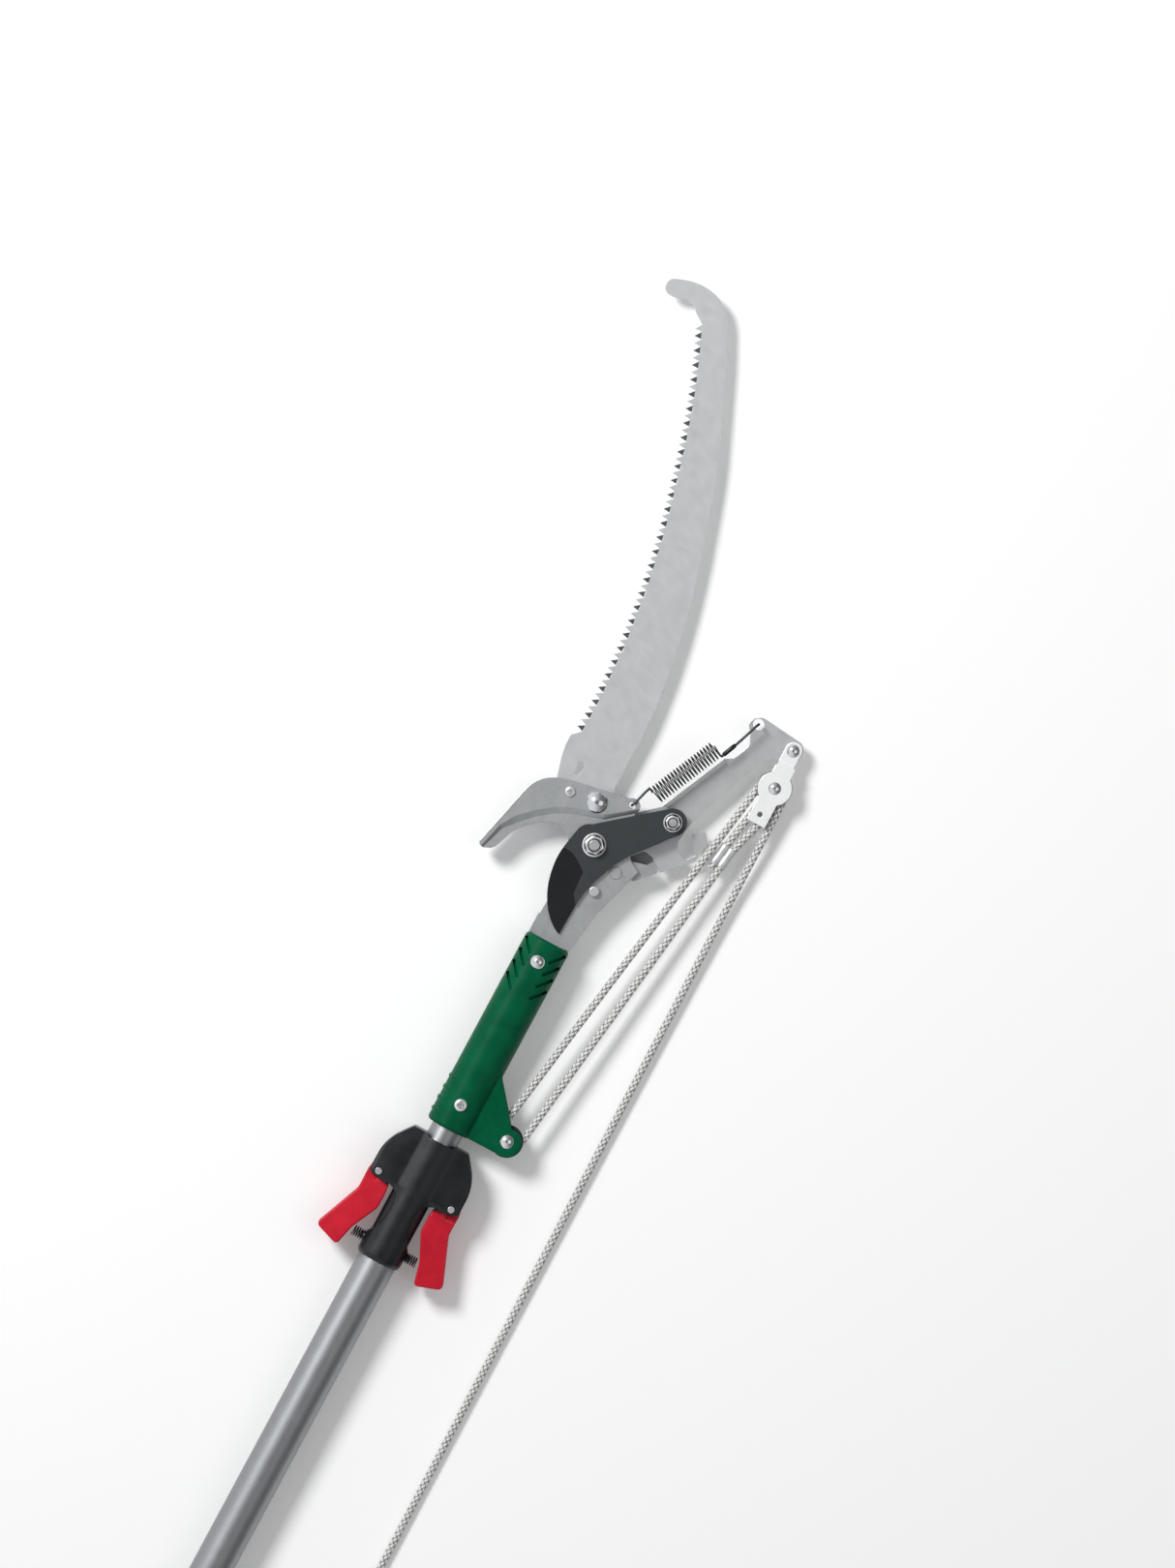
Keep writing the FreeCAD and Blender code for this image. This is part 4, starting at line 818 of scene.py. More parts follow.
def crossed(radius: float, rise: float, centre: Vector) -> bmesh.types.BMesh:
    """A pan screw head with a cross recess.

    Args:
        radius: Its radius in millimetres.
        rise: How high it stands.
        centre: The middle of its flat underside.

    Returns:
        The closed shape.
    """
    shape = bmesh.new()
    arm, half, deep = radius * 0.52, radius * 0.13, rise * 0.7
    plus = [(arm, half), (half, half), (half, arm), (-half, arm), (-half, half), (-arm, half),
            (-arm, -half), (-half, -half), (-half, -arm), (half, -arm), (half, -half), (arm, -half)]
    levels = [(radius - 0.2, 0.0), (radius, 0.25), (radius, rise * 0.35),
              (radius * 0.94, rise * 0.68), (radius * 0.8, rise * 0.9), (radius * 0.64, rise)]
    rings = []
    for reach, height in levels:
        ring = bmesh.ops.create_circle(shape, cap_ends=False, segments=32,
                                       radius=reach * MM)["verts"]
        bmesh.ops.translate(shape, verts=ring, vec=(0, 0, height * MM))
        rings.append(ring)
    loops = [[e for e in shape.edges if all(v in ring for v in e.verts)] for ring in rings]
    for near, far in zip(loops, loops[1:]):
        bmesh.ops.bridge_loops(shape, edges=near + far)
    bmesh.ops.edgeloop_fill(shape, edges=loops[0])
    corners = [shape.verts.new((x * MM, y * MM, rise * MM)) for x, y in plus]
    recess = [shape.edges.new(pair) for pair in zip(corners, corners[1:] + corners[:1])]
    bmesh.ops.triangle_fill(shape, edges=loops[-1] + recess, use_beauty=True)
    sunk = bmesh.ops.extrude_edge_only(shape, edges=recess)["geom"]
    lower = [part for part in sunk if isinstance(part, bmesh.types.BMVert)]
    bmesh.ops.translate(shape, verts=lower, vec=(0, 0, -deep * MM))
    floor = [part for part in sunk if isinstance(part, bmesh.types.BMEdge)
             and all(v in lower for v in part.verts)]
    bmesh.ops.edgeloop_fill(shape, edges=floor)
    return stood(shape, centre, turn_deg=20.0)


def threaded(radius: float, length: float, pitch: float, centre: Vector) -> bmesh.types.BMesh:
    """The end of a bolt that stands out of its nut.

    Args:
        radius: The thread's outer radius in millimetres.
        length: How far it stands out.
        pitch: The thread's pitch.
        centre: The middle of its lower end.

    Returns:
        The closed shape.
    """
    profile = [(0.0, 0.0), (radius, 0.0)]
    height = 0.0
    while height + pitch < length - 0.6:
        profile += [(radius - 0.55 * pitch, height + pitch / 2), (radius, height + pitch)]
        height += pitch
    return turned([*profile, (radius - 0.9, length), (0.0, length - 0.05)], centre)


def hexagonal(across: float, height: float, centre: Vector) -> bmesh.types.BMesh:
    """A hexagonal prism with chamfered corners at its top.

    Args:
        across: Millimetres across the flats.
        height: How tall it is.
        centre: The middle of its base.

    Returns:
        The closed shape.
    """
    turn_deg, chamfer_mm, ease_mm = 10.0, 0.7, 0.3
    shape = bmesh.new()
    base = bmesh.ops.create_circle(shape, cap_ends=True, segments=6,
                                   radius=across / math.sqrt(3) * MM)
    bmesh.ops.rotate(shape, verts=base["verts"], cent=(0, 0, 0),
                     matrix=Matrix.Rotation(math.radians(turn_deg), 3, "Z"))
    top = raised(shape, height * MM)
    rims = [edge for edge in shape.edges if all(v in top for v in edge.verts)]
    bevelled(shape, rims, chamfer_mm * MM)
    sides = [edge for edge in shape.edges
             if abs(edge.verts[0].co.z - edge.verts[1].co.z) > height * 0.5 * MM]
    bevelled(shape, sides, ease_mm * MM)
    return stood(shape, centre)


def coiled(
    ring_r: float, wire_r: float, length: float, turns: float, start: Vector, axis: Vector
) -> bmesh.types.BMesh:
    """A coil of round wire.

    Args:
        ring_r: From the coil's axis to the wire's centre, in millimetres.
        wire_r: The wire's radius.
        length: The coil's length between the wire's end centres.
        turns: How many turns it makes.
        start: The middle of its first end.
        axis: The way it runs.

    Returns:
        The closed shape.
    """
    shape = bmesh.new()
    sides, facets = 10, 22  # round the wire, and round each turn
    ring = bmesh.ops.create_circle(shape, cap_ends=False, segments=sides, radius=wire_r * MM)
    bmesh.ops.rotate(shape, verts=ring["verts"], cent=(0, 0, 0),
                     matrix=Matrix.Rotation(math.pi / 2, 3, "X"))
    bmesh.ops.translate(shape, verts=ring["verts"], vec=(ring_r * MM, 0, 0))
    steps = max(12, round(turns * facets))
    bmesh.ops.spin(shape, geom=shape.verts[:] + shape.edges[:], cent=(0, 0, 0), axis=UP,
                   dvec=(0, 0, length * MM / steps), angle=turns * 2 * math.pi, steps=steps,
                   use_merge=False)
    bmesh.ops.holes_fill(shape, edges=[e for e in shape.edges if e.is_boundary], sides=sides)
    return stood(shape, start, axis)


# ------------------------------------------------------------------ lines of rope and wire
def nurbs_line(name: str, route: list[Vector]) -> bpy.types.Object:
    """A smooth open line with a route's points as its control points.

    Args:
        name: The curve's name.
        route: The route's points.

    Returns:
        The curve object, with no thickness yet.
    """
    curve = bpy.data.curves.new(name, "CURVE")
    curve.dimensions = "3D"
    curve.resolution_u = 10
    line = curve.splines.new("NURBS")
    line.points.add(len(route) - 1)
    for point, place in zip(line.points, route):
        point.co = (*place, 1.0)
    line.order_u = 3
    line.use_endpoint_u = True
    return linked(name, curve)


def bent_wire(name: str, route: list[Vector], diameter: float) -> bpy.types.Object:
    """A closed round wire along a smooth line.

    Args:
        name: The wire's name.
        route: The line's control points.
        diameter: The wire's diameter in metres.

    Returns:
        The wire.
    """
    holder = nurbs_line(name, route)
    holder.data.bevel_depth = diameter / 2
    holder.data.bevel_resolution = 2
    holder.data.use_fill_caps = True
    bpy.context.view_layer.update()
    mesh = bpy.data.meshes.new_from_object(holder)
    mesh.name = name
    mesh.materials.clear()
    mesh.shade_smooth()
    mesh.set_sharp_from_angle(angle=math.radians(50))
    piece = linked(name, mesh)
    bpy.data.objects.remove(holder)
    return piece


def spaced(points: list[Vector], step: float) -> list[Vector]:
    """Points spaced evenly along a line.

    Args:
        points: The line's own points.
        step: About how far apart the new ones are, in metres.

    Returns:
        The new points, from the line's start to its end.
    """
    along = lengths(points)
    count = max(2, round(along[-1] / step))
    places, k = [], 0
    for i in range(count + 1):
        want = along[-1] * i / count
        while k < len(points) - 2 and along[k + 1] < want:
            k += 1
        share = (want - along[k]) / (along[k + 1] - along[k])
        places.append(points[k].lerp(points[k + 1], share))
    return places


def braid_height(along: float, around: float) -> float:
    """How far a braid's surface stands out, from 0 in its gaps to 1 on its crowns.

    Args:
        along: The distance along the rope, in strand widths.
        around: The place round the rope, in strand widths.
    """
    ways = (along + around, along - around)
    over = (math.floor(ways[0]) + math.floor(ways[1])) % 2
    return abs(math.sin(math.pi * ways[over]))


def braided(
    name: str, route: list[Vector], finish: BraidedRope, diameter: float
) -> tuple[bpy.types.Object, list[Vector]]:
    """Lay braided rope along a smooth line, as a closed tube charted by length and turn.

    The rope lies more or less level.  Its surface stands out on each strand, and sinks
    where one dives under another.

    Args:
        name: The rope's name.
        route: The line's control points.
        finish: The braid's strands.
        diameter: The rope's diameter over its crowns, in metres.

    Returns:
        The rope and the points along its middle.
    """
    holder = nurbs_line(name, route)
    bpy.context.view_layer.update()
    line = bpy.data.meshes.new_from_object(holder)
    middle = [vertex.co.copy() for vertex in line.vertices]
    bpy.data.meshes.remove(line)
    rings_each, sides_each = 7, 4  # along and round the rope, for each strand's width
    places = spaced(middle, finish.step_mm * MM / rings_each)
    sides = sides_each * finish.strands
    shape = bmesh.new()
    chart = shape.loops.layers.uv.new("UVMap")
    rings = []
    for i, (place, reach) in enumerate(zip(places, lengths(places))):
        ahead = (places[min(i + 1, len(places) - 1)] - places[max(i - 1, 0)]).normalized()
        side = ahead.cross(UP).normalized()
        top = side.cross(ahead)
        ring = []
        for k in range(sides):
            stand = braid_height(reach / (finish.step_mm * MM), k / sides_each)
            radius = diameter / 2 * (1.0 - finish.relief * (1.0 - stand))
            angle = 2 * math.pi * k / sides
            out = (side * math.cos(angle) + top * math.sin(angle)) * radius
            ring.append(shape.verts.new(place + out))
        rings.append((reach, ring))
    for (low, near), (high, far) in zip(rings, rings[1:]):
        for k in range(sides):
            j = (k + 1) % sides
            face = shape.faces.new((near[k], near[j], far[j], far[k]))
            spots = ((low, k), (low, k + 1), (high, k + 1), (high, k))
            for loop, (reach, turn) in zip(face.loops, spots):
                loop[chart].uv = (reach, turn / sides)
    shape.faces.new(rings[0][1])
    shape.faces.new(rings[-1][1])
    bmesh.ops.recalc_face_normals(shape, faces=shape.faces[:])
    bpy.data.objects.remove(holder)
    return made_piece(name, shape, 75.0), middle


def touching(centre: Vector, radius: float, far: Vector, far_radius: float, side: int) -> Vector:
    """The normal, on both circles, of the straight line that touches them.

    Args:
        centre: The first circle's middle.
        radius: Its radius.
        far: The second circle's middle.
        far_radius: Its radius.
        side: 1 or -1, for the line on the left or right of both.

    Returns:
        A level unit vector.
    """
    gap = far - centre
    lean = math.acos((radius - far_radius) / math.hypot(gap.x, gap.y))
    return heading(math.atan2(gap.y, gap.x) + side * lean)


def laid_round(centre: Vector, radius: float, start: Vector, sweep_deg: float) -> list[Vector]:
    """Control points for a rope laid round a wheel.

    Args:
        centre: The wheel's middle, at the rope's height.
        radius: From there to the rope's centre.
        start: The unit normal where it starts.
        sweep_deg: How far it goes round, anticlockwise from above.

    Returns:
        The points, of which the first and last lie on the circle.
    """
    parts = max(3, round(abs(sweep_deg) / 24))  # a bend of about 24 degrees at each point
    step = math.radians(sweep_deg) / parts
    first = math.atan2(start.y, start.x)
    out = radius / math.cos(step / 2)
    turns = [heading(first + step * (i + 0.5)) * out for i in range(parts)]
    last = heading(first + math.radians(sweep_deg)) * radius
    return [centre + start * radius, *(centre + turn for turn in turns), centre + last]


# ------------------------------------------------------------------ studio
@dataclass
class Studio:
    """The paper, the lamps and the camera that looks straight down.

    Attributes:
        bench: The workbench.
        view_mm: The drawing point under the middle of the picture.
        tall: How many metres of paper the picture's height spans.
        roll_deg: How far the pole leans to the right of upright in the picture.
        distance: The camera's height over the object.
    """

    bench: Workbench
    view_mm: tuple[float, float] = (139.25, 29.86)
    tall: float = 1.1664
    roll_deg: float = 28.25
    distance: float = 5.0

    def right(self) -> Vector:
        """The way to the picture's right."""
        return heading(math.radians(self.roll_deg - 90.0))

    def place_camera(self) -> None:
        """Aim the camera down at the head."""
        data = bpy.data.cameras.new("camera")
        data.sensor_fit = "VERTICAL"
        data.sensor_height = 24.0
        data.lens = data.sensor_height * self.distance / self.tall
        data.clip_end = 100.0
        camera = linked("camera", data)
        camera.location = self.bench.drawn(*self.view_mm) + UP * self.distance
        camera.rotation_euler = (0.0, 0.0, math.radians(self.roll_deg - 90.0))
        bpy.context.scene.camera = camera

    def lay_paper(self) -> None:
        """Lay the paper that the object rests on."""
        half_wide, middle, gap = 14.0, 1.5, 0.2 * MM  # in metres
        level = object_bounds()[0][2] - gap
        shape = bmesh.new()
        bmesh.ops.create_grid(shape, x_segments=2, y_segments=2, size=half_wide)
        bmesh.ops.translate(shape, verts=shape.verts[:], vec=(middle, 0.0, level))
        paper = made_piece("paper", shape)
        paper.data.materials.append(StudioPaper("white studio paper").build())
        paper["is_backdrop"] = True

    def hang_lamp(
        self, name: str, share: tuple[float, float, float], size: float, power: float
    ) -> None:
        """Hang one soft lamp, aimed at the middle of the view.

        Args:
            name: The lamp's name.
            share: How far it hangs to the picture's right, to its top and up, in metres.
            size: The lamp's width.
            power: Its power in watts.
        """
        data = bpy.data.lights.new(name, "AREA")
        data.shape = "DISK"
        data.size = size
        data.energy = power
        lamp = linked(name, data)
        right = self.right()
        aim = self.bench.drawn(*self.view_mm)
        lamp.location = aim + right * share[0] + UP.cross(right) * share[1] + UP * share[2]
        lamp.rotation_euler = (aim - lamp.location).to_track_quat("-Z", "Y").to_euler()

    def light(self) -> None:
        """Light the table from the upper left, with a pale room round it."""
        self.hang_lamp("key", (-1.6, 1.7, 2.6), 1.1, 102.0)
        self.hang_lamp("fill", (1.9, -0.4, 2.8), 2.4, 12.0)
        world = bpy.data.worlds.new("pale room")
        bpy.context.scene.world = world
        world.use_nodes = True
        tree = world.node_tree
        tree.nodes.clear()
        way = add(tree, "TexCoord").outputs["Object"]
        height = add(tree, "SeparateXYZ", {"Vector": way}).outputs["Z"]
        side = add(tree, "VectorMath", {0: way, 1: self.right()}, operation="DOT_PRODUCT")
        # The dark camera stand hangs right over the table, and glossy faces show it.  The
        # window side is bright, and the far side of the room falls away.
        stand, wall = (
            add(tree, "MapRange", {"Value": value, "From Min": start, "From Max": end,
                                   "To Min": first, "To Max": last},
                interpolation_type="SMOOTHSTEP")
            for value, start, end, first, last in ((height, 0.93, 0.985, 1.0, 0.3),
                                                   (side, -0.6, 0.75, 1.05, 0.22))
        )
        room = add(tree, "Math", {0: stand, 1: wall}, operation="MULTIPLY")
        glossy = add(tree, "LightPath").outputs["Is Glossy Ray"]
        strength = add(tree, "Mix", {"Factor": glossy, "A": 0.33, "B": room}, data_type="FLOAT")
        light = add(tree, "Background", {"Color": linear("#F7F8FA"), "Strength": strength})
        add(tree, "OutputWorld", {"Surface": light})
        bpy.context.scene.view_settings.view_transform = "Standard"


# ------------------------------------------------------------------ rope
@dataclass
class Tackle:
    """The rope round its two wheels, its ferrule, its hank and the block.

    Sizes are in millimetres.

    Attributes:
        bench: The workbench.
        rope_mm: The rope's diameter.
        bracket_r: From the bracket wheel's middle to the rope's.
        block_r: From the block wheel's middle to the rope's.
        level: The taut rope's height.
        travel: How far the block moves as the lever is pulled; not used.
        ferrule: The middle of the ferrule's two ends.
        strand_gap: How far apart the two ropes in the ferrule lie.
        becket: The pin that holds the rope's end loop.
        becket_r: That pin's radius.
        hank_start: Where the hank begins.
        hank_long: The hank's length.
        hank_end: From the hank's ends to its bends' middles.
        rope_side: Where the free rope lies.
        windings: Radius, shift and layer of each bend of the hank, in turn at its far and
            its near end.
    """

    bench: Workbench
    rope_mm: float = 6.0
    bracket_r: float = 9.3
    block_r: float = 10.2
    level: float = -6.6
    travel: tuple[float, float] = (-168.0, -49.5)
    ferrule: tuple[tuple[float, float], tuple[float, float]] = ((131.0, -83.7), (148.0, -85.9))
    strand_gap: float = 5.8
    becket: tuple[float, float] = (180.0, -93.8)
    becket_r: float = 2.0
    hank_start: float = -566.0
    hank_long: float = 130.0
    hank_end: float = 30.0
    rope_side: float = -112.0
    windings: tuple[tuple[float, float, int], ...] = (
        (12.0, -3.0, 0), (15.0, 0, 0), (21.0, 0, 0), (21.0, 0, 0), (27.0, 0, 0), (27.0, 0, 1),
        (21.0, 0, 1), (21.0, 0, 1), (15.0, 0, 1), (15.0, 0, 2), (21.0, 0, 2), (21.0, 0, 2))

    def __post_init__(self) -> None:
        """Read where the two wheels stand."""
        self.near = self.bench.centre("bracket_sheave")
        self.far = self.bench.centre("block_sheave")
        self.normal = touching(self.near, self.bracket_r * MM, self.far, self.block_r * MM, 1)
        entry = self.bench.drawn(self.hank_start, self.rope_side)
        self.pull_normal = touching(self.far, self.block_r * MM, entry, 0.0, 1)
        self.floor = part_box("clamp_body")[0].z
        self.thick = self.rope_mm * MM

    def strands(self) -> tuple[Vector, Vector, Vector, Vector]:
        """The ferrule's ends: outer start, outer end, inner start and inner end."""
        start = self.bench.drawn(*self.ferrule[0], self.level)
        end = self.bench.drawn(*self.ferrule[1], self.level)
        along = (end - start).normalized()
        across = Vector((-along.y, along.x, 0.0)) * (self.strand_gap / 2 * MM)
        return start - across, end - across, start + across, end + across

    def lay(
        self, name: str, route: list[Vector], node: str, replace: bool = True
    ) -> tuple[bpy.types.Object, list[Vector]]:
        """Make and mount one length of rope.

        Args:
            name: The piece's name.
            route: Its control points.
            node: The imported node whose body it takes.
            replace: Whether it stands for that node.

        Returns:
            The mounted piece and the points along its middle.
        """
        piece, path = braided(name, route, ROPE, self.thick)
        return self.bench.mount(piece, ROPE, node, replace), path

    def shorten(self, piece: bpy.types.Object) -> None:
        """Give a run of rope a mesh of its own.

        Args:
            piece: The run.
        """
        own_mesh(piece)

    def make_runs(self) -> None:
        """The two taut runs between the wheels and the turn round the bracket's wheel."""
        start = self.near + self.normal * self.bracket_r * MM
        end = self.far + self.normal * self.block_r * MM
        outer = self.strands()[0]
        low = touching(self.near, self.bracket_r * MM, outer, 0.0, -1)
        leave = self.near + low * self.bracket_r * MM
        for name, first, last, node in (("rope-run-to-block", start, end, "rope_run_a"),
                                        ("rope-run-from-ferrule", leave, outer, "rope_run_b")):
            run, _ = self.lay(name, [first, first.lerp(last, 0.5), last], node)
            self.shorten(run)
        sweep = 360 - math.degrees(low.angle(self.normal))
        sweep = sweep if sweep < 200 else 360 - sweep
        wrap = laid_round(self.near, self.bracket_r * MM, self.normal, sweep)
        self.lay("rope-round-bracket-wheel", wrap, "rope_run_b", replace=False)

    def make_bend(self) -> None:
        """The half turn round the block's wheel, and the end looped through the ferrule."""
        sweep = math.degrees(self.pull_normal.angle(self.normal))
        bend = laid_round(self.far, self.block_r * MM, self.pull_normal, sweep)
        self.lay("rope-round-block-wheel", bend, "rope_bend")
        outer_start, outer_end, inner_start, inner_end = self.strands()
        pin = self.bench.drawn(*self.becket, self.level)
        slack, overhang = 0.05, 4.0  # round the pin, and past the ferrule
        ring = self.becket_r + self.rope_mm / 2 + slack
        low = touching(pin, ring * MM, outer_end, 0.0, 1)
        high = touching(pin, ring * MM, inner_end, 0.0, -1)
        sweep = 360 - math.degrees(low.angle(high))
        sweep = sweep if sweep > 180 else 360 - sweep
        along = (outer_start - outer_end).normalized()
        route = [outer_start, outer_end, *laid_round(pin, ring * MM, low, sweep), inner_end,
                 inner_start + along * overhang * MM]
        self.lay("rope-end-loop", route, "rope_loop")

    def pull_route(self) -> list[Vector]:
        """The free rope's route, from the block down to the paper and along it."""
        # How far it starts off the bend, how far it stays level, where it lands and how
        # far it runs on past the hank's start.
        off, level_mm, lands, runs_on = 0.3, 24.0, 62.0, 10.0
        start = self.far + self.pull_normal * self.block_r * MM - Vector((off * MM, 0.0, 0.0))
        entry = self.bench.drawn(self.hank_start, self.rope_side)
        slope = (start.y - entry.y) / (start.x - entry.x)
        low = self.floor + self.thick / 2
        level = start - Vector((1.0, slope, 0.0)) * level_mm * MM
        down = self.bench.drawn(lands, 0.0)
        down = Vector((down.x, start.y - slope * (start.x - down.x), low))
        end = self.bench.drawn(self.hank_start - runs_on, self.rope_side)
        return [start, level, down, Vector((end.x, end.y, low))]

    def hank_route(self) -> list[Vector]:
        """The winding's route: an oval of three rings in three layers, then the tail."""
        # The hank lies a little over the paper and aside from the pull rope, which joins
        # it in its first straight; the tail leaves its last one on its outer side.
        over, aside, joins, leaves, level_at, past = 1.5, 9.0, 45.0, 60.0, 28.0, 4.0
        low = self.floor + over * MM + self.thick / 2
        head = self.bench.drawn(self.hank_start, self.rope_side).x
        tail = head - self.hank_long * MM
        middle = self.bench.drawn(0.0, self.rope_side - aside).y
        route = [self.pull_route()[-1], Vector((head - joins * MM, middle + aside * MM, low))]
        half = 15  # degrees, half of each step round a bend
        inset = self.hank_end * MM
        for i, (ring, shift, layer) in enumerate(self.windings):
            at_tail = i % 2 == 0
            centre = Vector((tail + inset if at_tail else head - inset, middle + shift * MM,
                             low + layer * self.thick))
            for k in range(90 // half):
                angle = math.radians((90 if at_tail else 270) + half + 2 * half * k)
                route.append(centre + heading(angle) * (ring * MM / math.cos(math.radians(half))))
        top = low + 2 * self.thick
        outer = middle + max(ring for ring, _, _ in self.windings) * MM
        centre = self.bench.centre("pull_toggle")
        return [*route, Vector((head - leaves * MM, outer - self.thick / 2, top)),
                Vector((tail + level_at * MM, outer, top)),
                Vector((tail - past * MM, outer, top)),
                Vector((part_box("pull_toggle")[1].x, centre.y, centre.z))]

    def make_free_rope(self) -> None:
        """The pull rope, and the rest of it wound into a hank with its toggle."""
        route = self.pull_route()
        pull, path = self.lay("rope-pull", route, "rope_pull")
        self.shorten(pull)
        route = self.hank_route()
        hank, path = self.lay("rope-hank", route, "rope_hank")
        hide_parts("rope_tail")
        toggle = self.bench.eased("pull_toggle", BLACK_PLASTIC, 0.5, "pull-toggle")
        tie = self.bench.eased("rope_tie", BLACK_RUBBER, 0.3, "rope-tie")
        LOG.info("rope in the hank: %.3f m", lengths(path)[-1])

    def make_ferrule(self) -> None:
        """The pressed double sleeve, softly squeezed at its middle."""
        outer_start, outer_end, inner_start, inner_end = self.strands()
        bore, wide = self.rope_mm / 2 - 0.1, self.rope_mm / 2 + 0.75
        shapes = []
        for start, end in ((outer_start, outer_end), (inner_start, inner_end)):
            long = (end - start).length / MM
            profile = [(bore, 0.0), (wide - 0.3, 0.0), (wide, 0.5), (wide, long * 0.25),
                       (wide - 0.28, long * 0.36), (wide - 0.3, long * 0.62), (wide, long * 0.74),
                       (wide, long - 0.5), (wide - 0.3, long), (bore, long), (bore, 0.0)]
            shapes.append(turned(profile, start, end - start, 32))
        piece = made_piece("rope-ferrule", joined(*shapes))
        self.bench.mount(piece, PRESSED, "rope_ferrule")

    def make_block(self) -> None:
        """The block's straps, pins and wheel, and the bracket's wheel."""
        for node in ("block_strap_front", "block_strap_back"):
            self.bench.eased(node, POLISHED, 0.3, smooth_deg=8.0)
        for node in ("block_axle", "becket_pin", "block_rivet"):
            self.bench.eased(node, CHROME, 0.2, facet_deg=0.5)
        for node in ("block_sheave", "bracket_sheave"):
            self.bench.eased(node, BLACK_PLASTIC, 0.3, facet_deg=1.0)

    def make_cords(self) -> None:
        """Make every length of rope."""
        self.make_free_rope()
        self.make_runs()
        self.make_bend()


# ------------------------------------------------------------------ pole and clamp
@dataclass
class Pole:
    """The two tubes, the butt's cap and grip, and the clamp between them.

    Sizes are in millimetres, and places along the clamp are counted down from its top.

    Attributes:
        bench: The workbench.
        coil_mm: The lever springs' diameter.
        wire_mm: Their wire's.
        coil_turns: How many turns each makes.
        barrel_r: The clamp's round barrel.
        barrel_end: Where the barrel stops being trued.
        skin_mm: How fine the clamp's skin is.
        ear_mm: How high its ears stand at the barrel.
        ear_drop: How fast they fall away outwards.
        ear_sink: How much lower they lie at their tail.
        ear_back: Where their tail begins and ends.
        pocket_mm: How high the pockets inside them reach.
        waist_r: The radius of the hollow waist behind them.
        waist_at: The waist's middle along the clamp, and out from the pole.
        pin_at: A lever's pin along the clamp, and out from the pole.
    """

    bench: Workbench
    coil_mm: float = 8.5
    wire_mm: float = 0.8
    coil_turns: float = 4.5
    barrel_r: float = 17.5
    barrel_end: float = 96.0
    skin_mm: float = 0.65
    ear_mm: float = 13.6
    ear_drop: float = 0.003
    ear_sink: float = 4.6
    ear_back: tuple[float, float] = (44.0, 62.5)
    pocket_mm: float = 9.0
    waist_r: float = 36.0
    waist_at: tuple[float, float] = (63.0, 45.0)
    pin_at: tuple[float, float] = (42.0, 30.5)

    def make_clamp(self) -> None:
        """The moulded clamp, whose round barrel stands out of its ears front and back.

        The ears sink a little on both sides of the barrel, and flow into its waist behind.
        """
        near_mm, margin = 0.4, 1.0  # round the barrel's skin, and past the ears' tail
        shape = remeshed(self.bench.frame["nodes"]["clamp_body"].data, self.skin_mm * MM)
        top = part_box("clamp_body")[1].x / MM
        for vertex in shape.verts:
            high, out = abs(vertex.co.z) / MM, abs(vertex.co.y) / MM
            down = top - vertex.co.x / MM
            reach = math.hypot(high, out)
            if abs(reach - self.barrel_r) < near_mm and self.ear_back[0] < down < self.barrel_end:
                vertex.co.y *= self.barrel_r / reach
                vertex.co.z *= self.barrel_r / reach
            elif high > self.pocket_mm and down < self.ear_back[1] + margin:
                out = self.gathered(out, high, down)
                high = min(high, max(self.ear_height(out, down), self.pocket_mm))
                vertex.co.y = math.copysign(out * MM, vertex.co.y)
                vertex.co.z = math.copysign(high * MM, vertex.co.z)
        self.bench.mount(made_piece("clamp-body-moulded", shape), BLACK_PLASTIC, "clamp_body")

    def gathered(self, out: float, high: float, down: float) -> float:
        """Where a point of the ears' tail goes, as it is drawn in to the barrel's waist.

        Args:
            out: How far out the point lies.
            high: How high it lies.
            down: How far it lies below the clamp's top.

        Returns:
            How far out it goes.
        """
        inset, blend = 1.0, 6.0  # from the tail's start, and over which the waist begins
        start = self.ear_back[0] + inset
        past = self.waist_at[0] - down
        if abs(past) >= self.waist_r or down < start or math.hypot(high, out) < self.barrel_r:
            return out
        waist = self.waist_at[1] - math.sqrt(self.waist_r ** 2 - past ** 2)
        share = min(1.0, (down - start) / blend)
        return min(out, out + (waist - out) * share * share * (3.0 - 2.0 * share))

    def ear_height(self, out: float, down: float) -> float:
        """How high the clamp's face stands over the pole's middle.

        Args:
            out: How far from the middle.
            down: How far below the clamp's top.
        """
        start, end = self.ear_back
        share = min(1.0, max(0.0, (down - start) / (end - start)))
        level, soft = 12.0, 4.0  # how far out the ear is level, and how tall the blend is
        ear = self.ear_mm - self.ear_drop * max(0.0, out - level) ** 2 - self.ear_sink * share
        barrel = math.sqrt(max(0.0, self.barrel_r ** 2 - out ** 2))
        blend = min(1.0, max(0.0, 0.5 + 0.5 * (barrel - ear) / soft))
        return ear + (barrel - ear) * blend + soft * blend * (1.0 - blend)

    def make(self) -> None:
        """Make the pole."""
        for node, radii in (("outer_tube", (15.0, 13.8)), ("inner_tube", (12.5, 11.3))):
            round_normals(self.bench.eased(node, POLE_TUBE, 0.25, flat=False), radii)
        self.bench.eased("end_cap", BLACK_RUBBER, 0.8, flat=False)
        self.bench.eased("pole_grip", BLACK_RUBBER, 0.4, flat=False)
        for node in ("inner_tube_bush", "clamp_bush"):
            self.bench.eased(node, ACETAL, 0.3)
        self.make_clamp()
        self.bench.eased("clamp_pins", BRIGHT, 0.3)
        for side in Side:
            drafted(self.bench.eased(f"clamp_lever_{side.name.lower()}", RED_PLASTIC, 0.5))
            self.make_shoulder(side)
            self.make_spring(side)

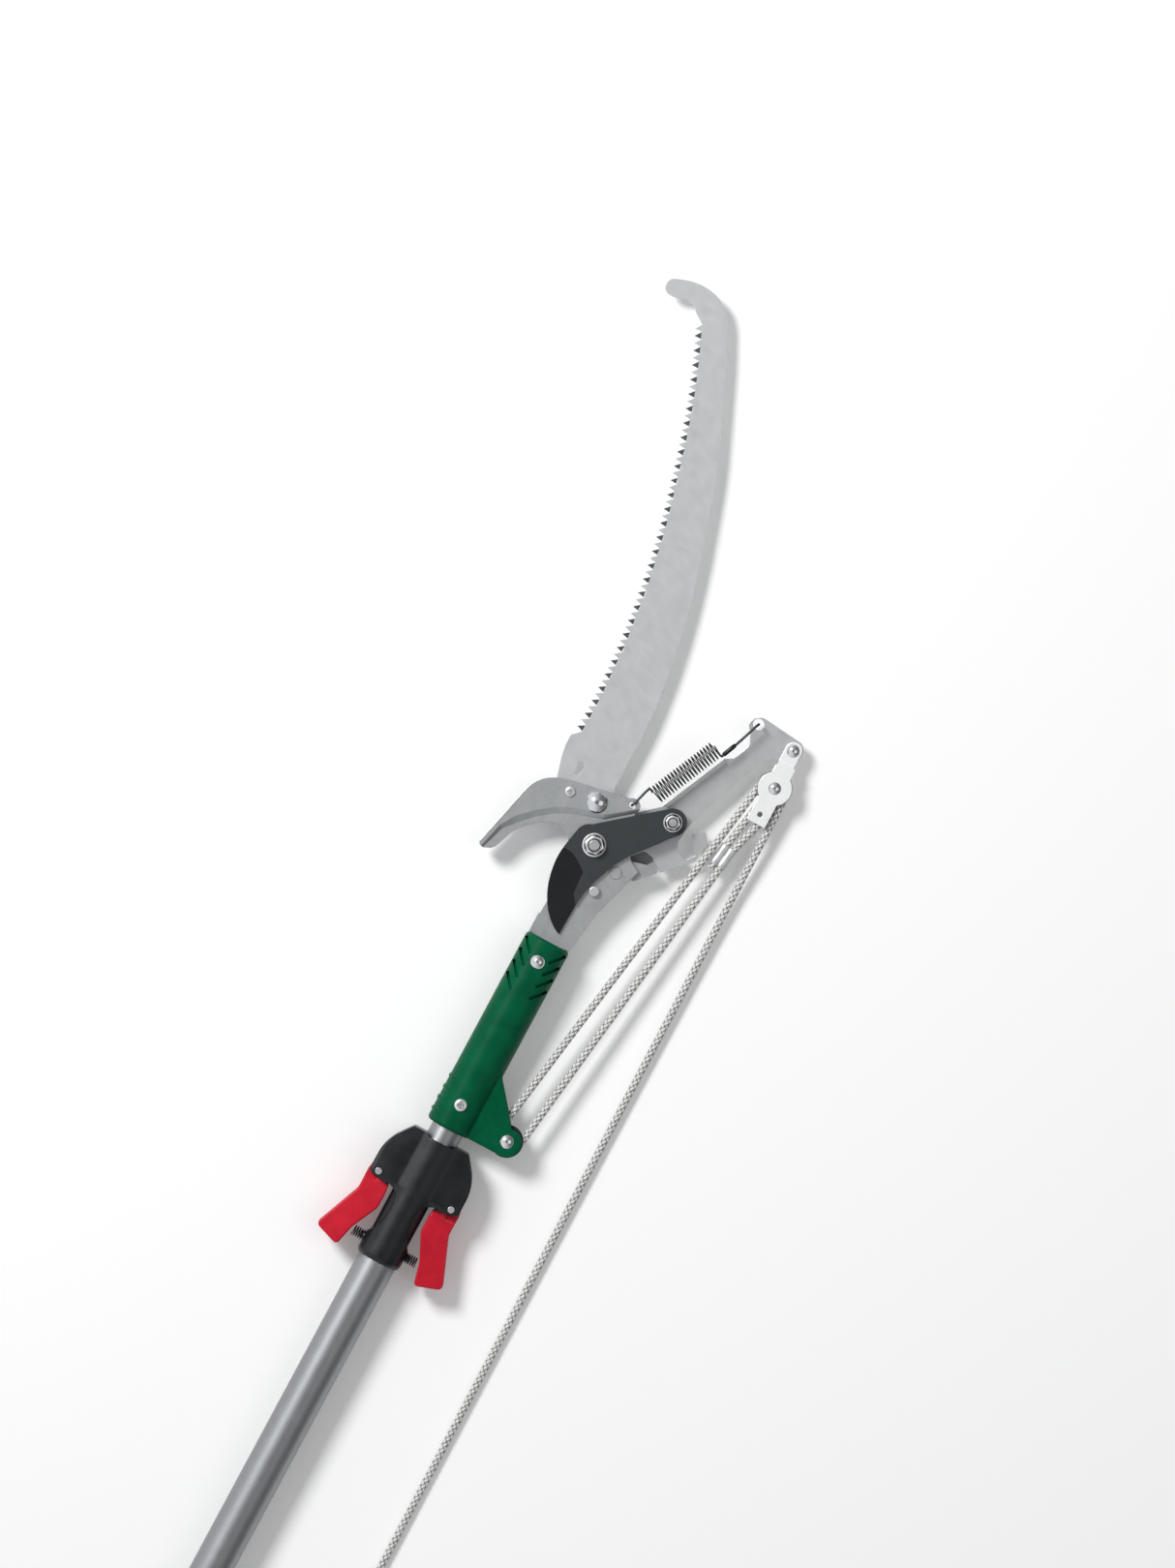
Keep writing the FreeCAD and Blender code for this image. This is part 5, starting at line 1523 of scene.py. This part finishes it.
    def make_shoulder(self, side: Side) -> None:
        """Make the thick shoulder of one lever, in the notch of the clamp's ear.

        Args:
            side: Which lever.
        """
        word, half = side.name.lower(), 8.9
        pin = Vector((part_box("clamp_body")[1].x - self.pin_at[0] * MM,
                      self.pin_at[1] * side.value * MM, -half * MM))
        outline = [(-9.5, -1.0), (-4.3, -1.5), (-4.3, -8.4), (-5.4, -10.5), (-7.6, -11.8),
                   (-10.0, -12.1)]
        corners = [pin + Vector((x, y * side.value, 0.0)) * MM for x, y in outline]
        plate = slab(corners, 2 * half * MM, 0.6 * MM)
        piece = drafted(made_piece(f"clamp-lever-{word}-shoulder", plate))
        self.bench.mount(piece, RED_PLASTIC, f"clamp_lever_{word}", replace=False)

    def make_spring(self, side: Side) -> None:
        """Make the coil under one lever.

        Args:
            side: Which lever.
        """
        word = side.name.lower()
        node = f"clamp_spring_{word}"
        low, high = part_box(node)
        middle = (low + high) / 2
        across = Vector((0.0, float(side.value), 0.0))
        near = min(abs(low.y), abs(high.y)) + self.wire_mm / 2 * MM
        long = (high.y - low.y) / MM - self.wire_mm
        start = Vector((middle.x, near * side.value, middle.z))
        coil = coiled((self.coil_mm - self.wire_mm) / 2, self.wire_mm / 2, long,
                      self.coil_turns, start, across)
        piece = made_piece(f"clamp-spring-{word}", coil)
        self.bench.mount(piece, BLACK_WIRE_AND_GROOVE_SHADE, node)
        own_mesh(piece)


def drafted(piece: bpy.types.Object) -> bpy.types.Object:
    """Slope a lever's broad faces outwards from the pole, as its mould draws them."""
    inner_mm, share = 18.0, 0.013
    for vertex in piece.data.vertices:
        vertex.co.z *= 1.0 - share * max(0.0, abs(vertex.co.y) / MM - inner_mm)
    return piece


# ------------------------------------------------------------------ head
@dataclass
class Head:
    """The handle, the casting, the saw and the cutter with its lever and spring.

    Sizes are in millimetres, and places are points of the head's drawing.

    Attributes:
        bench: The workbench.
        coil_start: Where the return spring's coil begins.
        coil_end: Where it ends.
        spring_body: The hole in the casting that holds its short hook.
        spring_lever: The hole in the lever that holds its long hook.
        spring_bend: Where the long hook bends.
        spring_mm: The coil's diameter.
        wire_mm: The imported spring's wire.
        coil_wire_mm: The coil's wire as seen.
        hook_wire_mm: The hooks' wire as seen.
        spring_turns: How many turns the coil makes.
        handle_mm: The handle's diameter.
        set_mm: How far under the saw's face a tooth that leans down has its facet.
        stop: The outline of the stop under the lever.
        grind: The outline of the blade's ground face.
    """

    bench: Workbench
    coil_start: tuple[float, float] = (155.2, -18.3)
    coil_end: tuple[float, float] = (207.7, -42.3)
    spring_body: tuple[float, float] = (141.0, -6.8)
    spring_lever: tuple[float, float] = (238.6, -61.4)
    spring_bend: tuple[float, float] = (222.0, -55.5)
    spring_mm: float = 15.0
    wire_mm: float = 1.6
    coil_wire_mm: float = 1.05
    hook_wire_mm: float = 2.0
    spring_turns: float = 21.0
    handle_mm: float = 35.4
    set_mm: float = 0.44
    stop: tuple[tuple[float, float], ...] = (
        (104.0, -26.0), (110.0, -20.0), (119.0, -26.0), (119.0, -36.0), (111.4, -40.6),
        (103.0, -35.0))
    grind: tuple[tuple[float, float], ...] = (
        (26, -9), (50, -9), (63, 0.4), (80, 1.6), (85.5, 9), (89, 16), (90, 30), (26, 30))

    def make(self) -> None:
        """Make the head."""
        self.make_handle()
        self.make_casting()
        self.make_cutter()
        self.make_spring()

    def make_handle(self) -> None:
        """The green handle with its bolts."""
        handle = self.bench.eased("handle_socket", GREEN_PLASTIC, 0.3, facet_deg=0.4, flat=False)
        round_normals(handle, (self.handle_mm / 2,))
        for node in ("handle_bolt", "bracket_axle"):
            self.bench.eased(node, CHROME, 0.25, facet_deg=0.5)
        self.make_screw("handle_screw", 4.8, 2.2, BRIGHT)

    def make_casting(self) -> None:
        """The casting, its stud, and the saw bolted to it."""
        self.bench.eased("hook_body", CASTING, 0.35, smooth_deg=8.0, above_mm=2.5)
        self.make_stop()
        self.bench.eased("stop_stud", PRESSED, 0.2, facet_deg=0.5)
        saw = self.bench.eased("saw_blade", SAW_STEEL, 0.12)
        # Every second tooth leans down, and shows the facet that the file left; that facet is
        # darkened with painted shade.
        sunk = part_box("saw_blade")[1].z - self.set_mm * MM
        dress_where(saw, self.bench.material(TOOTH_FACET_SHADE),
                    lambda face: face.normal.z > 0.9 and abs(face.center.z - sunk) < 0.08 * MM)
        self.bench.eased("saw_bolt", CHROME, 0.25, facet_deg=0.5)
        self.make_screw("saw_screw", 4.0, 1.8, PRESSED)

    def make_stop(self) -> None:
        """The rough stop under the lever, seen between its edge and the casting; its dark grey is
        painted shade for the gap there.
        """
        under, tall, ease = 3.4, 3.45, 0.5  # it reaches just into the lever
        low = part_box("lever_arm")[0].z / MM - under
        plate = slab([self.bench.drawn(x, y, low) for x, y in self.stop], tall * MM, ease * MM)
        self.bench.mount(made_piece("lever-stop", plate), STOP_IN_PAINTED_SHADE, "lever_arm", replace=False)

    def make_screw(self, node: str, radius: float, rise: float, finish: Metal) -> None:
        """A cross-head screw with its nut on the far side.

        Args:
            node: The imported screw.
            radius: The head's radius in millimetres.
            rise: How high the head stands.
            finish: What it is made of.
        """
        low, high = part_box(node)
        foot = self.bench.centre(node)
        foot.z = low.z
        shank, across, thick = 2.5, 8.0, 4.0  # the stem's radius, and the nut
        long = (high.z - low.z) / MM - rise
        stem = turned([(0.0, 0.2), (shank, 0.2), (shank, long + 0.1), (0.0, long + 0.1)], foot)
        head = crossed(radius, rise, foot + UP * long * MM)
        nut = hexagonal(across, thick, foot)
        self.bench.mount(made_piece(node.replace("_", "-"), joined(stem, head, nut)), finish, node)

    def make_cutter(self) -> None:
        """The coated blade and the pressed lever, with their nuts and bolts."""
        blade = self.bench.eased("cutting_blade", COATED, 0.2)
        ground = [self.bench.drawn(x, y) for x, y in self.grind]
        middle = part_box("cutting_blade")[0].z + 0.5 * MM
        dress_where(blade, self.bench.material(GROUND_EDGE),
                    lambda face: face.normal.z > 0.3 and face.center.z > middle
                    and holds(ground, face.center))
        self.bench.eased("lever_arm", PRESSED, 0.2, smooth_deg=12.0)
        self.bench.eased("tail_spacer", BRIGHT, 0.2)
        self.make_nut("pivot_nut", "pivot_bolt", 17.9, 13.0, 4.0, 1.25)
        self.make_nut("tail_nut", "tail_bolt", 14.2, 10.0, 3.0, 1.0)

    def make_nut(
        self, node: str, bolt: str, flange: float, across: float, radius: float, pitch: float
    ) -> None:
        """A flanged lock nut with the bolt's threaded end standing out of it.

        Args:
            node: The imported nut.
            bolt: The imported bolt.
            flange: The flange's diameter in millimetres.
            across: The hexagon across its flats.
            radius: The thread's outer radius.
            pitch: The thread's pitch.
        """
        low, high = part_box(node)
        base = self.bench.centre(node)
        base.z = low.z
        tall = (high.z - low.z) / MM
        bore, throat, shown = radius + 0.1, radius + 0.2, 3.5
        skirt = turned([(bore, 0.0), (flange / 2 - 0.3, 0.0), (flange / 2, 0.3),
                        (flange / 2, 0.9), (across / 2 + 1.2, 1.9), (across / 2 - 0.4, 2.8),
                        (bore, 2.8), (bore, 0.0)], base)
        hexagon = hexagonal(across, tall - 3.6, base + UP * 1.6 * MM)
        collar = turned([(throat, tall - 3.0), (across * 0.45, tall - 3.0),
                         (across * 0.43, tall - 1.2), (across * 0.38, tall - 0.3),
                         (radius + 0.6, tall), (throat, tall - 0.4), (throat, tall - 3.0)], base)
        piece = made_piece(node.replace("_", "-"), joined(skirt, hexagon, collar))
        self.bench.mount(piece, BRIGHT, node)

        def oiled_wire_and_groove_shade(face: bpy.types.MeshPolygon) -> bool:
            """Whether a face is in the groove over the flange or in the collar's throat, where the
            dark wire finish is painted as shade.
            """
            reach = math.hypot(face.center.x - base.x, face.center.y - base.y) / MM / across
            return face.normal.z > 0.1 and (0.3 < reach < 0.39 or 0.5 < reach < 0.585)

        # The grooves take the dark wire finish as painted shade.
        dress_where(piece, self.bench.material(BLACK_WIRE_AND_GROOVE_SHADE), oiled_wire_and_groove_shade)
        self.bench.eased(bolt, BRIGHT, 0.3, facet_deg=0.5)
        foot = Vector((base.x, base.y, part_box(bolt)[1].z - shown * MM))
        thread = threaded(radius + 0.02, shown, pitch, foot)
        self.bench.mount(made_piece(bolt.replace("_", "-") + "-thread", thread), BRIGHT, bolt,
                         replace=False)

    def make_spring(self) -> None:
        """The black return spring: its coil, and its hooks that turn in their holes."""
        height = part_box("spring_hook")[1].z - self.wire_mm / 2 * MM
        start, end, body_hole, lever_hole, bend = (
            self.bench.drawn(*spot, height / MM)
            for spot in (self.coil_start, self.coil_end, self.spring_body, self.spring_lever,
                         self.spring_bend)
        )
        along = (end - start).normalized()
        ring_mm = (self.spring_mm - self.wire_mm) / 2
        rim = Vector((-along.y, along.x, 0.0)) * ring_mm * MM
        coil = coiled(ring_mm, self.coil_wire_mm / 2, (end - start).length / MM,
                      self.spring_turns, start, along)
        piece = made_piece("return-spring-coil", coil)
        piece.data.materials.append(self.bench.material(BLACK_WIRE_AND_GROOVE_SHADE))
        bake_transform(piece)
        self.bench.slot("return_spring")
        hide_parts("return_spring")
        drop = UP * (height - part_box("hook_body")[0].z)
        near = [body_hole - drop, body_hole - UP * 2 * MM, body_hole, body_hole + along * 3 * MM,
                start + rim - along * 2 * MM, start + rim + along * MM]
        drop = UP * (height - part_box("lever_arm")[0].z)
        far = [end - rim - along * MM, end - rim + along * 3 * MM, bend,
               lever_hole - along * 4 * MM, lever_hole, lever_hole - UP * 2 * MM, lever_hole - drop]
        for name, route, node in (("return-spring-short-hook", near, "return_spring"),
                                  ("return-spring-long-hook", far, "spring_hook")):
            self.bench.mount(bent_wire(name, route, self.hook_wire_mm * MM), BLACK_WIRE_AND_GROOVE_SHADE, node,
                             replace=node == "spring_hook")
        # The wire's end is wound back along the long hook.
        foot = end - rim + along * MM
        way = bend - foot
        long = way.length / MM
        wound = turned([(0.0, 0.0), (1.2, 0.0), (1.7, 0.8), (1.7, 0.62 * long),
                        (0.9, 0.72 * long), (0.0, 0.72 * long)], foot, way, 16)
        self.bench.mount(made_piece("return-spring-winding", wound), BLACK_WIRE_AND_GROOVE_SHADE, "spring_hook",
                         replace=False)


def main() -> None:
    """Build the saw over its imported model."""
    logging.basicConfig(level=logging.INFO, format="%(name)s: %(message)s")
    bench = Workbench(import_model())
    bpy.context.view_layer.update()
    studio = Studio(bench)
    studio.place_camera()
    studio.light()
    tackle = Tackle(bench)
    tackle.make_cords()
    studio.lay_paper()
    tackle.make_block()
    tackle.make_ferrule()
    Pole(bench).make()
    Head(bench).make()


if __name__ == "__main__":
    main()
